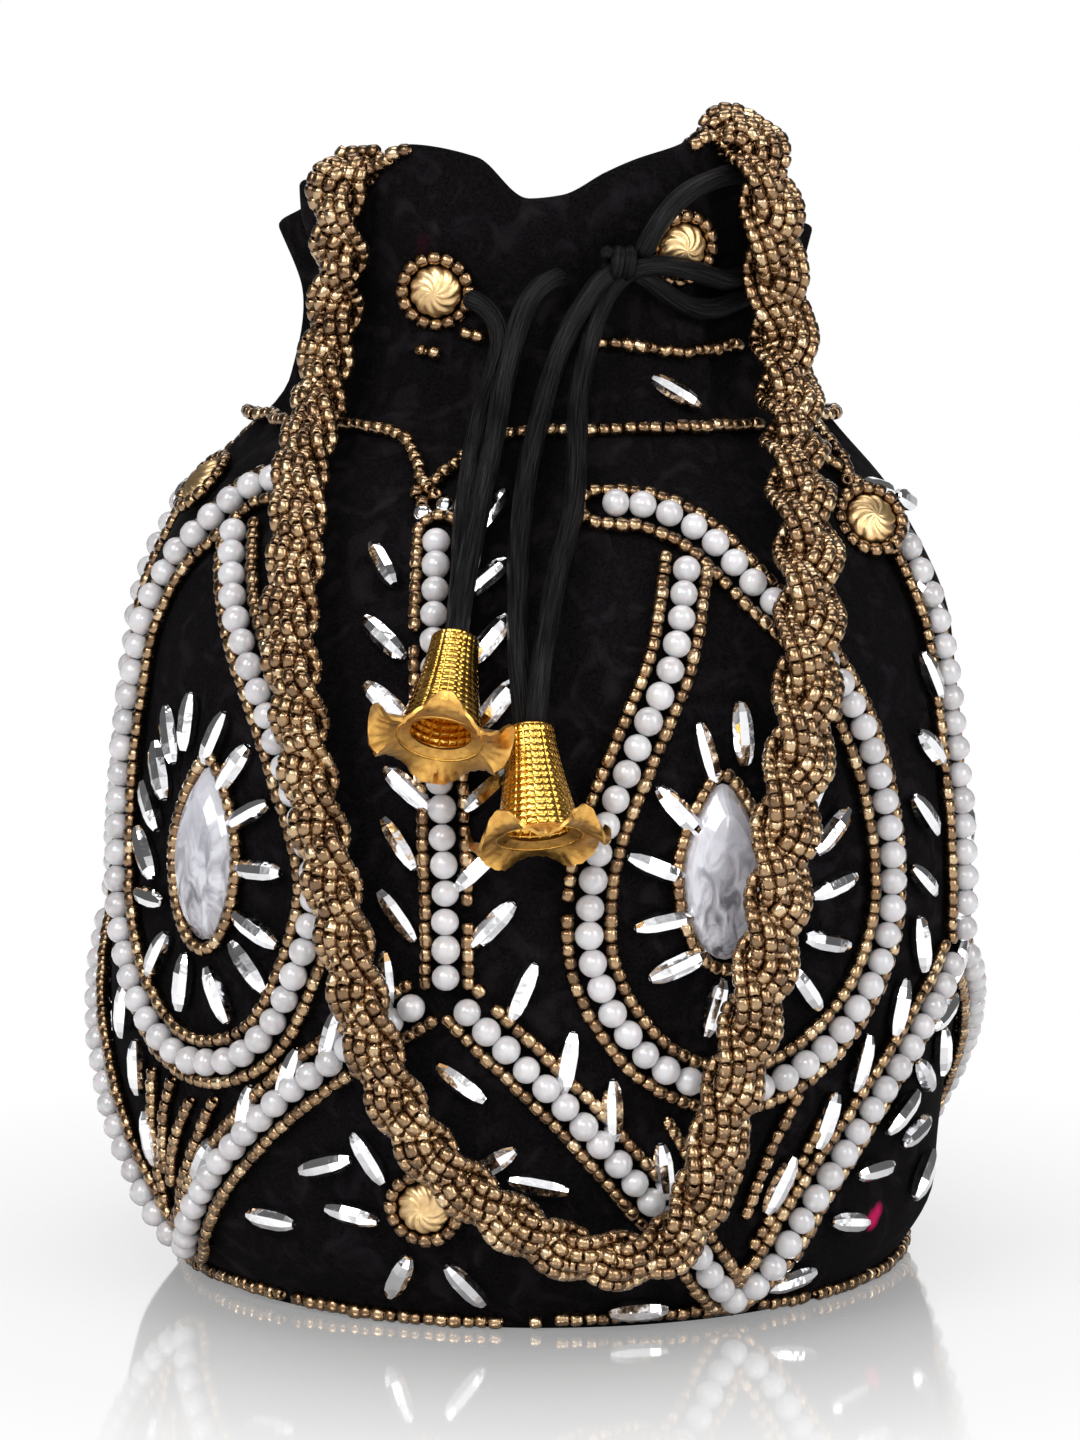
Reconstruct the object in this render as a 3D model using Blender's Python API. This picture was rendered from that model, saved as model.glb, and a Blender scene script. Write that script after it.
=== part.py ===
# Potli bag: a gathered velvet pouch with beaded embroidery, a plaited bead handle and two
# drawstrings ending in bells.
# Metres, +Z up. The origin is the middle of the underside and the front faces -Y.
# Places on the bag are (angle, height): degrees round from the front, positive towards +X, and
# metres up.

import math

import bmesh
import bpy
from mathutils import Matrix, Vector

# Bag wall, as half widths at named heights
BASE_RADIUS = 0.0685
CORNER_HEIGHT, CORNER_RADIUS = 0.016, 0.078
BELLY_HEIGHT, BELLY_RADIUS = 0.065, 0.083
SHOULDER_HEIGHT, SHOULDER_RADIUS = 0.122, 0.079
GATHER_HEIGHT, GATHER_RADIUS = 0.170, 0.0485
SLOPE_HEIGHT, SLOPE_RADIUS = GATHER_HEIGHT - 0.022, 0.0680
NECK_HEIGHT, NECK_RADIUS = 0.184, 0.0455
COLLAR_RISE, COLLAR_RADIUS = 0.018, 0.0490
BODY_DEPTH_RATIO = 0.97
NECK_DEPTH_RATIO = 0.78
WALL_THICKNESS = 0.0020
SEGMENTS = 48
OUTER_HEIGHTS = (0.0, 0.006, 0.018, 0.048, 0.085, 0.115, 0.136, 0.149, 0.157, 0.165, 0.173, NECK_HEIGHT)
INNER_HEIGHTS = (0.0, 0.018, 0.060, 0.108, 0.142, 0.171)
COLLAR_STEPS = (0.5, 1.0)

# The soft bag leans a little to one side near its foot
LEAN = -0.0022
LEAN_HEIGHT = 0.030
UPRIGHT_HEIGHT = 0.085

# Gathers
FOLDS = 12
FOLD_DEPTH = 0.0032
FRONT_FOLD_DEPTH = 0.0010
FOLD_START, FOLD_FULL = GATHER_HEIGHT - 0.022, GATHER_HEIGHT + 0.004
SMOOTH_FRONT, FULL_SIDE = 32, 78

# Scalloped rim, as (angle, height above the neck)
RIM = (
    (-180, 0.013), (-135, 0.020), (-98, 0.014), (-62, 0.025), (-45, 0.026), (-30, 0.030), (-15, 0.027),
    (0, 0.020), (14, 0.024), (31, 0.033), (44, 0.028), (62, 0.025), (98, 0.014), (135, 0.020), (180, 0.013),
)

# Base and lining
CLEARANCE = 0.0003
BASE_THICKNESS = 0.0022
LINING_THICKNESS = 0.0007
LINING_GAP = 0.0004
LINING_SEGMENTS = 16

# Beaded rows
PEARL = 0.0050
PEARL_PITCH = 0.0056
PEARL_LIFT = 0.0004
PEARL_WAIST, PEARL_SADDLE = 0.42, 0.56
SEED = 0.0026
SEED_LIFT = 0.0008
COLLAR_LINE_LIFT = 0.0015
SEED_LINE_STEPS = 28
FRONT_STRIPE, RIGHT_STRIPE, BACK_STRIPE, LEFT_STRIPE = -12.5, 68, 167, -102
# A stripe as (shift of its angle, height), and the right half of the zigzag as (share of its half
# width, height)
STRIPE = ((-3, 0.1455), (-2, 0.135), (0, 0.100), (1.2, 0.066))
CHEVRON_GAP = 0.0035
CHEVRON = ((0.06, 0.0085), (0.30, 0.024), (0.62, 0.044))
CHEVRON_START, CHEVRON_END = 3.6, 1.6
MEDALLION_LEAD = {"front_left": -50, "front_right": 27, "back_left": 206, "back_right": 130}

# Half-medallion outlines as (degrees from the medallion's middle, height), from the hook at the
# top round to the joint
RIGHT_OUTLINE = (
    (-18, 0.150), (-10, 0.149), (-3, 0.1445), (3, 0.136), (10, 0.126), (16, 0.115), (20, 0.102), (22, 0.086),
    (21, 0.071), (16, 0.0585), (8, 0.0495), (-1, 0.0465), (-10, 0.0505), (-17, 0.060), (-21, 0.073),
    (-20.5, 0.090), (-16, 0.107), (-10.5, 0.124), (-7, 0.138),
)
LEFT_OUTLINE = (
    (3, 0.153), (-4, 0.1505), (-10, 0.144), (-15, 0.1375), (-18, 0.126), (-20.5, 0.106), (-20.5, 0.088),
    (-18.5, 0.072), (-12, 0.0585), (-3, 0.0495), (6, 0.0485), (14, 0.0545), (19, 0.068), (21, 0.084),
    (17, 0.101), (10, 0.120), (3, 0.134), (-1, 0.142),
)

# Stones and swirl buttons
STONE_HEIGHT, STONE_WIDTH, STONE_DEPTH = 0.032, 0.0165, 0.0042
STONE_RISE = 0.0865
STONE_SIDES = 12
STONE_NARROWING = 0.42
STONE_SHIFT = {"front_left": 2, "front_right": -4, "back_left": -4, "back_right": -4}
# From the back to the table, as (share of the outline, share of the depth)
STONE_RINGS = ((0.96, 0.0), (1.0, 0.3), (0.55, 1.0))
# Bezel of seed beads round each stone, and the silver beads that ray out from it
BEZEL_GAP, BEZEL_WIDTH, BEZEL_HEIGHT = 0.0008, 0.0019, 0.0026
RAYS, RAY_ROOT, RAY_LENGTH, RAY_WIDTH, RAY_HEIGHT = 15, 0.0012, 0.0096, 0.0036, 0.0034
RAY_TOP = 0.55
# From the root to the tip, as (share of the length, share of the width and height)
RAY_SECTIONS = ((0.10, 0.45), (0.34, 1.0), (0.68, 1.0), (1.0, 0.38))
BUTTON_RADIUS, BUTTON_HEIGHT, BUTTON_LOBES = 0.0048, 0.0034, 7
BUTTON_TWIST, BUTTON_VALLEY, BUTTON_MIDDLE = 24, 0.82, 0.35
BUTTON_LIFT = 0.0007
BUTTONS = {
    "collar_left": (-25, NECK_HEIGHT + 0.005), "collar_right": (31, NECK_HEIGHT + 0.013),
    "shoulder_right": (58, SLOPE_HEIGHT - 0.003), "shoulder_left": (-76, SLOPE_HEIGHT + 0.003),
    "foot_front": (-14, CORNER_HEIGHT + 0.009), "collar_back_left": (205, NECK_HEIGHT + 0.003),
    "collar_back_right": (150, NECK_HEIGHT + 0.003), "foot_back": (167, CORNER_HEIGHT + 0.009),
}

# Seed lines round the bag
COLLAR_LINE_HEIGHT, COLLAR_LINE_WAVE, COLLAR_LINE_WAVES = 0.161, 0.0035, 4
FOOT_LINE_HEIGHT = 0.0030

# Plaited handle, as (angle, height, distance of its middle from the wall)
STRAND_HALF_WIDTH, STRAND_HALF_DEPTH = 0.0026, 0.0019
PLAIT_HALF_WIDTH = 0.0050
PLAIT_HALF_DEPTH = 0.0032
PLAIT_PITCH = 0.056
PLAIT_STEPS = 9
STRAND_SIDES = 5
HANDLE_ROUTE = (
    (-45.6, 0.2089, 0.0064), (-44.8, 0.1982, 0.0070), (-47.9, 0.187, 0.0076), (-47, 0.1741, 0.0100),
    (-38.5, 0.1603, 0.0140), (-33.5, 0.1482, 0.0126), (-31.5, 0.1331, 0.0112), (-29, 0.117, 0.0112),
    (-27, 0.104, 0.0112), (-24.7, 0.091, 0.0112), (-22.3, 0.0771, 0.0112), (-19.5, 0.0631, 0.0112),
    (-16, 0.0491, 0.0112), (-11.6, 0.036, 0.0112), (-5, 0.0260, 0.0112), (2, 0.0195, 0.0112),
    (9, 0.0170, 0.0112), (15, 0.0185, 0.0112), (19, 0.0260, 0.0112),
    (21, 0.037, 0.0112), (22.5, 0.050, 0.0112), (24.7, 0.0659, 0.0112), (26.7, 0.082, 0.0112),
    (28.2, 0.0971, 0.0112), (30.8, 0.112, 0.0112), (32.5, 0.1273, 0.0112), (35.4, 0.1426, 0.0122),
    (38.3, 0.1558, 0.0142), (48.1, 0.1682, 0.0136), (53, 0.1821, 0.0104), (48.8, 0.1971, 0.0104),
    (47.1, 0.2081, 0.0092), (47.1, 0.2160, 0.0062), (48.3, 0.2190, 0.0020),
)

# Drawstrings, as (angle, height, distance of the cord's middle from the wall)
CORD_DIAMETER = 0.0040
CORD_POINT_SPACING = 0.0110
CORD_ROUTES = {
    "drawstring_left_outer": (
        (-18.2, 0.1874, 0.0030), (-12.9, 0.1891, 0.0034), (-8.6, 0.1889, 0.0036), (-9.2, 0.1854, 0.0040),
        (-11.5, 0.1767, 0.0058), (-12.2, 0.1662, 0.0073), (-11.3, 0.1547, 0.0077), (-10.7, 0.1431, 0.0074),
        (-10.6, 0.1349, 0.0072), (-10.5, 0.1300, 0.0075),
    ),
    "drawstring_left_inner": (
        (4.7, 0.1918, 0.0030), (0.4, 0.1916, 0.0070), (-3.0, 0.1895, 0.0088), (-5.2, 0.1823, 0.0090),
        (-7.4, 0.1714, 0.0098), (-8.1, 0.1610, 0.0108), (-8.6, 0.1511, 0.0113), (-9.3, 0.1411, 0.0116),
        (-9.7, 0.1350, 0.0119), (-9.8, 0.1312, 0.0121),
    ),
    "drawstring_right_outer": (
        (12.1, 0.1921, 0.0062), (7.0, 0.1855, 0.0060), (3.1, 0.1782, 0.0058), (0.1, 0.1690, 0.0072),
        (-2.2, 0.1590, 0.0070), (-3.2, 0.1476, 0.0050), (-3.3, 0.1360, 0.0056), (-2.8, 0.1243, 0.0070),
        (-2.4, 0.1152, 0.0074),
    ),
    "drawstring_right_inner": (
        (16.4, 0.1899, 0.0052), (12.4, 0.1840, 0.0048), (9.0, 0.1780, 0.0050), (6.7, 0.1696, 0.0070),
        (5.7, 0.1601, 0.0068), (4.6, 0.1514, 0.0050), (1.9, 0.1405, 0.0058), (0.3, 0.1297, 0.0088),
        (-0.4, 0.1212, 0.0106), (-0.6, 0.1163, 0.0115),
    ),
    "bow_loop": (
        (19, 0.199, 0.0066), (23, 0.2045, 0.0060), (29, 0.2085, 0.0040), (36, 0.2085, 0.0030),
        (41, 0.2055, 0.0027), (45, 0.2005, 0.0026), (45, 0.1955, 0.0026), (40, 0.1925, 0.0046),
        (31, 0.1922, 0.0076), (22.8, 0.1937, 0.0068),
    ),
    "bow_return": (
        (21, 0.1893, 0.0048), (25, 0.1868, 0.0040), (33, 0.1850, 0.0032), (42, 0.1850, 0.0030),
        (49, 0.1855, 0.0030),
    ),
}
KNOT_PLACE = (16.8, 0.1954, 0.0056)
KNOT_LENGTH, KNOT_WIDTH = 0.0082, 0.0058

# Bells: places of the top and of the mouth, then the bell's outline as (distance down, radius,
# petal wave)
BELLS = {
    "bell_left": ((-10.3, 0.1294, 0.0098), (-10.6, 0.1099, 0.0215)),
    "bell_right": ((-1.5, 0.1142, 0.0094), (-0.2, 0.0936, 0.0170)),
}
BELL_OUTLINE = (
    (0.0, 0.0036, 0.0), (0.0008, 0.0042, 0.0), (0.0105, 0.0055, 0.0), (0.0190, 0.0078, 0.0),
    (0.0215, 0.0102, 0.3), (0.0236, 0.0124, 1.0),
)
BELL_WALL = 0.0010
BELL_CROWN = 0.0020
BELL_LIP, BELL_LIP_DROP, BELL_WALL_DROP = 0.0005, 0.0008, 0.00035
BELL_SEGMENTS = 18
PETALS = 5
PETAL_DROOP, PETAL_REACH = 0.0014, 0.0008


def curve_value(stations, x):
    # Height or radius read from a smooth curve that never overshoots its stations
    stations = sorted(stations)
    xs = [s[0] for s in stations]
    ys = [s[1] for s in stations]
    if x <= xs[0]:
        return ys[0]
    if x >= xs[-1]:
        return ys[-1]
    slopes = [(ys[i + 1] - ys[i]) / (xs[i + 1] - xs[i]) for i in range(len(xs) - 1)]
    tangents = [slopes[0]]
    for before, after in zip(slopes, slopes[1:]):
        same_way = before * after > 0
        tangents.append(2 * before * after / (before + after) if same_way else 0.0)
    tangents.append(slopes[-1])
    i = max(k for k in range(len(xs) - 1) if xs[k] <= x)
    step = xs[i + 1] - xs[i]
    t = (x - xs[i]) / step
    return (
        ys[i] * (1 + 2 * t) * (1 - t) ** 2
        + tangents[i] * step * t * (1 - t) ** 2
        + ys[i + 1] * t * t * (3 - 2 * t)
        + tangents[i + 1] * step * t * t * (t - 1)
    )


def smooth_step(x, low, high):
    t = min(1.0, max(0.0, (x - low) / (high - low)))
    return t * t * (3 - 2 * t)


def wall_radius(height):
    return curve_value(
        (
            (0.0, BASE_RADIUS), (CORNER_HEIGHT, CORNER_RADIUS), (BELLY_HEIGHT, BELLY_RADIUS),
            (SHOULDER_HEIGHT, SHOULDER_RADIUS), (SLOPE_HEIGHT, SLOPE_RADIUS), (GATHER_HEIGHT, GATHER_RADIUS),
            (NECK_HEIGHT, NECK_RADIUS), (NECK_HEIGHT + COLLAR_RISE, COLLAR_RADIUS),
        ),
        height,
    )


def from_front(angle):
    return (angle + 180) % 360 - 180


def rim_rise(angle):
    return curve_value(RIM, from_front(angle))


def fold_depth(angle, height):
    # Deep gathers at the sides and back, and a smoother front
    away_from_front = smooth_step(abs(from_front(angle)), SMOOTH_FRONT, FULL_SIDE)
    depth = FRONT_FOLD_DEPTH + (FOLD_DEPTH - FRONT_FOLD_DEPTH) * away_from_front
    return depth * smooth_step(height, FOLD_START, FOLD_FULL) * math.cos(FOLDS * math.radians(angle))


def on_wall(angle, height, standoff=0.0):
    # Point of the wall, moved straight out of the bag by the standoff
    turn = math.radians(angle)
    lean = LEAN * (smooth_step(height, 0.0, LEAN_HEIGHT) - smooth_step(height, LEAN_HEIGHT, UPRIGHT_HEIGHT))
    width = wall_radius(height) + fold_depth(angle, height)
    ratio = BODY_DEPTH_RATIO
    ratio += (NECK_DEPTH_RATIO - BODY_DEPTH_RATIO) * smooth_step(height, SHOULDER_HEIGHT, NECK_HEIGHT)
    return Vector((
        lean + (width + standoff) * math.sin(turn),
        -(width * ratio + standoff) * math.cos(turn),
        height,
    ))


def wall_normal(angle, height, standoff=0.0):
    along = on_wall(angle + 0.5, height, standoff) - on_wall(angle - 0.5, height, standoff)
    up = on_wall(angle, height + 0.0005, standoff) - on_wall(angle, height - 0.0005, standoff)
    return along.cross(up).normalized()


def smooth_route(route, steps=12):
    # A curve through every point of the route, as many tuples
    points = [tuple(p) for p in route]
    first = tuple(2 * a - b for a, b in zip(points[0], points[1]))
    last = tuple(2 * a - b for a, b in zip(points[-1], points[-2]))
    padded = [first] + points + [last]
    curve = []
    for p0, p1, p2, p3 in zip(padded, padded[1:], padded[2:], padded[3:]):
        for k in range(steps):
            t = k / steps
            curve.append(tuple(
                0.5 * (
                    2 * b + (c - a) * t
                    + (2 * a - 5 * b + 4 * c - d) * t * t
                    + (3 * b - a - 3 * c + d) * t ** 3
                )
                for a, b, c, d in zip(p0, p1, p2, p3)
            ))
    curve.append(points[-1])
    return curve


def evenly(places, count, to_point):
    # The same number of steps along a route, equal in real length
    points = [to_point(place) for place in places]
    lengths = [0.0]
    for before, after in zip(points, points[1:]):
        lengths.append(lengths[-1] + (after - before).length)
    even = []
    k = 0
    for step in range(count + 1):
        wanted = lengths[-1] * step / count
        while k < len(points) - 2 and lengths[k + 1] < wanted:
            k += 1
        share = (wanted - lengths[k]) / (lengths[k + 1] - lengths[k])
        even.append(tuple(a + (b - a) * share for a, b in zip(places[k], places[k + 1])))
    return even


def route_length(places, to_point):
    points = [to_point(place) for place in places]
    return sum((after - before).length for before, after in zip(points, points[1:]))


def material(name, colour, roughness, metallic=0.0):
    made = bpy.data.materials.new(name)
    made.use_nodes = True
    shader = made.node_tree.nodes["Principled BSDF"]
    shader.inputs["Base Color"].default_value = (*colour, 1.0)
    shader.inputs["Roughness"].default_value = roughness
    shader.inputs["Metallic"].default_value = metallic
    return made


def add_object(name, mesh, finish, smooth_angle=50):
    made = bpy.data.objects.new(name, mesh)
    bpy.context.scene.collection.objects.link(made)
    mesh.materials.append(finish)
    mesh.shade_smooth()
    mesh.set_sharp_from_angle(angle=math.radians(smooth_angle))
    made.parent = root
    return made


def loft(name, rings, finish, closed=False, smooth_angle=50):
    # Skin through rings of equal count, with flat ends, or with its last ring joined to its first
    shape = bmesh.new()
    skins = [[shape.verts.new(point) for point in ring] for ring in rings]
    pairs = list(zip(skins, skins[1:]))
    if closed:
        pairs.append((skins[-1], skins[0]))
    for low, high in pairs:
        for i in range(len(low)):
            j = (i + 1) % len(low)
            shape.faces.new((low[i], low[j], high[j], high[i]))
    if not closed:
        shape.faces.new(list(reversed(skins[0])))
        shape.faces.new(skins[-1])
    bmesh.ops.recalc_face_normals(shape, faces=shape.faces)
    mesh = bpy.data.meshes.new(name)
    shape.to_mesh(mesh)
    shape.free()
    return add_object(name, mesh, finish, smooth_angle)


def ring_at(heights_of, standoff, segments=SEGMENTS):
    angles = [360 * i / segments for i in range(segments)]
    return [on_wall(angle, heights_of(angle), standoff) for angle in angles]


def collar_height(step):
    return lambda angle: NECK_HEIGHT + step * rim_rise(angle)


def make_body(finish):
    outer = [ring_at(lambda angle, h=h: h, 0.0) for h in OUTER_HEIGHTS]
    outer += [ring_at(collar_height(step), 0.0) for step in COLLAR_STEPS]
    inner = [ring_at(collar_height(step), -WALL_THICKNESS) for step in reversed(COLLAR_STEPS)]
    inner += [ring_at(lambda angle, h=h: h, -WALL_THICKNESS) for h in reversed(INNER_HEIGHTS)]
    loft("velvet_body", outer + inner, finish, closed=True, smooth_angle=60)


def make_base(finish):
    inset = -(WALL_THICKNESS + CLEARANCE)
    lower = ring_at(lambda angle: 0.0, inset)
    upper = [point + Vector((0, 0, BASE_THICKNESS)) for point in lower]
    loft("base_panel", [lower, upper], finish, smooth_angle=30)


def make_lining(finish):
    # It stands on the base panel, inside the wall's own rings, and stops below the gathers
    skin = -(WALL_THICKNESS + LINING_GAP)
    floor = Vector((0, 0, BASE_THICKNESS + LINING_GAP))
    step = Vector((0, 0, LINING_THICKNESS))
    heights = INNER_HEIGHTS[1:-1]
    outside = [[point + floor for point in ring_at(lambda angle: 0.0, skin, LINING_SEGMENTS)]]
    outside += [ring_at(lambda angle, h=h: h, skin, LINING_SEGMENTS) for h in heights]
    inside = [
        ring_at(lambda angle, h=h: h, skin - LINING_THICKNESS, LINING_SEGMENTS) for h in reversed(heights)
    ]
    foot = ring_at(lambda angle: 0.0, skin - LINING_THICKNESS, LINING_SEGMENTS)
    inside.append([point + floor + step for point in foot])
    loft("lining", outside + inside, finish, smooth_angle=40)


def row_ring(before, middle, after, place, lift, half, top):
    # A triangle that sits on the wall, square to the row
    out = wall_normal(*place, lift)
    side = (after - before).cross(out).normalized()
    return [middle - side * half, middle + side * half, middle + out * top]


def make_row(name, route, finish):
    # A sewn row of pearls: a three-sided ridge that swells at each pearl and narrows between pearls
    places = smooth_route(route)
    to_point = lambda place: on_wall(*place, PEARL_LIFT)
    count = max(2, round(route_length(places, to_point) / PEARL_PITCH))
    even = evenly(places, 2 * count, to_point)
    points = [to_point(place) for place in even]
    rings = []
    for k, place in enumerate(even):
        width, top = (PEARL, PEARL) if k % 2 else (PEARL_WAIST * PEARL, PEARL_SADDLE * PEARL)
        before, after = points[max(k - 1, 0)], points[min(k + 1, 2 * count)]
        rings.append(row_ring(before, points[k], after, place, PEARL_LIFT, 0.5 * width, top))
    loft(name, rings, finish, smooth_angle=75)


def make_seed_line(name, height_at, lift, finish):
    # One string of small beads all the way round the bag
    angles = [360 * k / SEED_LINE_STEPS for k in range(SEED_LINE_STEPS)]
    places = [(angle, height_at(angle)) for angle in angles]
    points = [on_wall(*place, lift) for place in places]
    rings = []
    for k, place in enumerate(places):
        before, after = points[k - 1], points[(k + 1) % SEED_LINE_STEPS]
        rings.append(row_ring(before, points[k], after, place, lift, 0.5 * SEED, SEED))
    loft(name, rings, finish, closed=True, smooth_angle=75)


def make_pearls(finish):
    stripes = {"front": FRONT_STRIPE, "right": RIGHT_STRIPE, "back": BACK_STRIPE, "left": LEFT_STRIPE}
    for side, angle in stripes.items():
        route = tuple((angle + shift, height) for shift, height in STRIPE)
        make_row("pearl_stripe_" + side, route, finish)
    feet = (
        ("front_right", FRONT_STRIPE, RIGHT_STRIPE), ("back_right", RIGHT_STRIPE, BACK_STRIPE),
        ("back_left", BACK_STRIPE, LEFT_STRIPE + 360), ("front_left", LEFT_STRIPE, FRONT_STRIPE),
    )
    shape = CHEVRON + ((1.0, STRIPE[-1][1] - CHEVRON_GAP),)
    for side, start, end in feet:
        # The zigzag falls from one stripe's foot to the bag's foot and climbs to the next
        start, end = start + CHEVRON_START, end - CHEVRON_END
        middle, reach = 0.5 * (start + end), 0.5 * (end - start)
        falling = tuple((middle - share * reach, height) for share, height in reversed(shape))
        climbing = tuple((middle + share * reach, height) for share, height in shape)
        make_row("pearl_chevron_" + side, falling + climbing, finish)
    outlines = {
        "front_left": LEFT_OUTLINE, "front_right": RIGHT_OUTLINE, "back_left": RIGHT_OUTLINE,
        "back_right": LEFT_OUTLINE,
    }
    for side, outline in outlines.items():
        route = tuple((MEDALLION_LEAD[side] + angle, height) for angle, height in outline)
        make_row("pearl_medallion_" + side, route, finish)


def make_seed_lines(finish):
    def collar_wave(angle):
        return COLLAR_LINE_HEIGHT + COLLAR_LINE_WAVE * math.cos(COLLAR_LINE_WAVES * math.radians(angle))

    make_seed_line("collar_bead_line", collar_wave, COLLAR_LINE_LIFT, finish)
    make_seed_line("foot_bead_line", lambda angle: FOOT_LINE_HEIGHT, SEED_LIFT, finish)


def frame_on_wall(angle, height, standoff):
    # Local x runs round the bag, y up the wall and z straight out of it
    out = wall_normal(angle, height)
    up = (Vector((0, 0, 1)) - out * out.z).normalized()
    place = Matrix((up.cross(out), up, out)).transposed().to_4x4()
    place.translation = on_wall(angle, height) + out * standoff
    return place


def drop_outline(turn):
    # A drop as wide as the stone, pointed at the top, clockwise from there
    narrowing = 1 - STONE_NARROWING * max(0.0, math.cos(turn)) ** 1.5
    return Vector((0.5 * STONE_WIDTH * math.sin(turn) * narrowing, 0.5 * STONE_HEIGHT * math.cos(turn)))


def make_stone(name, angle, height, finish):
    # A faceted drop with a girdle and a smaller flat table
    place = frame_on_wall(angle, height, PEARL_LIFT)

    def outline(share, lift):
        turns = [2 * math.pi * i / STONE_SIDES for i in range(STONE_SIDES)]
        return [place @ Vector((*(drop_outline(-turn) * share), lift)) for turn in turns]

    rings = [outline(share, depth * STONE_DEPTH) for share, depth in STONE_RINGS]
    loft(name, rings, finish, smooth_angle=10)


def make_rays(name, angle, height, finish):
    # The bezel is a closed ring, and each ray grows from one of its outer faces
    def beside(turn, distance):
        along = (drop_outline(turn + 0.01) - drop_outline(turn - 0.01)).normalized()
        return drop_outline(turn) + Vector((-along.y, along.x)) * distance, along

    def on_bag(spot, lift):
        turned = angle + math.degrees(spot.x / wall_radius(height + spot.y))
        return on_wall(turned, height + spot.y, CLEARANCE + lift)

    reach = BEZEL_GAP + BEZEL_WIDTH
    turns = [(2 * math.pi * i / 90,) for i in range(91)]
    roots = evenly(turns, RAYS, lambda turn: beside(turn[0], reach)[0])[:-1]
    shape = bmesh.new()
    ring = []
    for (turn,) in roots:
        outer, along = beside(turn, reach)
        inner = beside(turn, BEZEL_GAP)[0]
        for side in (-0.5, 0.5):
            shift = along * (side * RAY_ROOT)
            corners = ((inner, 0), (inner, BEZEL_HEIGHT), (outer, BEZEL_HEIGHT), (outer, 0))
            ring.append([shape.verts.new(on_bag(spot + shift, lift)) for spot, lift in corners])
    for k, (turn,) in enumerate(roots):
        left, right, following = ring[2 * k], ring[2 * k + 1], ring[(2 * k + 2) % len(ring)]
        for i in range(4):
            j = (i + 1) % 4
            shape.faces.new((right[i], right[j], following[j], following[i]))
            if i != 2:
                shape.faces.new((left[i], left[j], right[j], right[i]))
        before = (left[3], right[3], right[2], left[2])
        for along_share, share in RAY_SECTIONS:
            spot, along = beside(turn, reach + RAY_LENGTH * along_share)
            half = along * (0.5 * RAY_WIDTH * share)
            high = RAY_HEIGHT * share
            section = ((-half, 0), (half, 0), (half * RAY_TOP, high), (-half * RAY_TOP, high))
            after = [shape.verts.new(on_bag(spot + shift, lift)) for shift, lift in section]
            for i in range(4):
                j = (i + 1) % 4
                shape.faces.new((before[i], before[j], after[j], after[i]))
            before = after
        shape.faces.new(before)
    bmesh.ops.recalc_face_normals(shape, faces=shape.faces)
    mesh = bpy.data.meshes.new(name)
    shape.to_mesh(mesh)
    shape.free()
    add_object(name, mesh, finish, smooth_angle=40)


def make_button(name, angle, height, finish):
    # A pressed disc whose lobes turn as they rise to the middle
    place = frame_on_wall(angle, height, BUTTON_LIFT)
    rings = []
    for size, rise, twist in ((1.0, 0.0, 0.0), (BUTTON_MIDDLE, BUTTON_HEIGHT, math.radians(BUTTON_TWIST))):
        ring = []
        for i in range(2 * BUTTON_LOBES):
            turn = math.pi * i / BUTTON_LOBES + twist
            valley = BUTTON_VALLEY if i % 2 else 1.0
            radius = BUTTON_RADIUS * size * valley
            ring.append(place @ Vector((radius * math.cos(turn), radius * math.sin(turn), rise * valley)))
        rings.append(ring)
    loft(name, rings, finish, smooth_angle=25)


def strand_rings(points, outs):
    # Oval rings square to the path, wide along the wall and thin away from it
    rings = []
    last = len(points) - 1
    for k, (point, out) in enumerate(zip(points, outs)):
        tangent = (points[min(k + 1, last)] - points[max(k - 1, 0)]).normalized()
        side = tangent.cross(out).normalized() * STRAND_HALF_WIDTH
        depth = side.cross(tangent).normalized() * STRAND_HALF_DEPTH
        turns = [2 * math.pi * i / STRAND_SIDES for i in range(STRAND_SIDES)]
        rings.append([point + depth * math.cos(t) + side * math.sin(t) for t in turns])
    return rings


def make_handle(finish):
    # Three bundles of strung beads in a flat plait: each crosses from edge to edge, over one and
    # under the next
    places = smooth_route(HANDLE_ROUTE)
    to_point = lambda place: on_wall(*place)
    length = route_length(places, to_point)
    count = round(length / PLAIT_PITCH * PLAIT_STEPS)
    even = evenly(places, count, to_point)
    middles = [to_point(place) for place in even]
    for strand in range(3):
        points, outs = [], []
        for k, middle in enumerate(middles):
            tangent = (middles[min(k + 1, count)] - middles[max(k - 1, 0)]).normalized()
            out = wall_normal(*even[k])
            out = (out - tangent * out.dot(tangent)).normalized()
            side = tangent.cross(out)
            turn = 2 * math.pi * (k / PLAIT_STEPS + strand / 3)
            points.append(
                middle + side * PLAIT_HALF_WIDTH * math.sin(turn) + out * PLAIT_HALF_DEPTH * math.sin(2 * turn)
            )
            outs.append(out)
        loft("handle_strand_%d" % (strand + 1), strand_rings(points, outs), finish, smooth_angle=80)


def make_cord(name, route, finish):
    places = smooth_route(route)
    to_point = lambda place: on_wall(*place)
    count = max(4, round(route_length(places, to_point) / CORD_POINT_SPACING))
    curve = bpy.data.curves.new(name, "CURVE")
    curve.dimensions = "3D"
    curve.bevel_depth = 0.5 * CORD_DIAMETER
    curve.bevel_resolution = 2
    curve.use_fill_caps = True
    spline = curve.splines.new("POLY")
    spline.points.add(count)
    for point, place in zip(spline.points, evenly(places, count, to_point)):
        point.co = (*to_point(place), 1.0)
    curve.materials.append(finish)
    made = bpy.data.objects.new(name, curve)
    bpy.context.scene.collection.objects.link(made)
    made.parent = root


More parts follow.
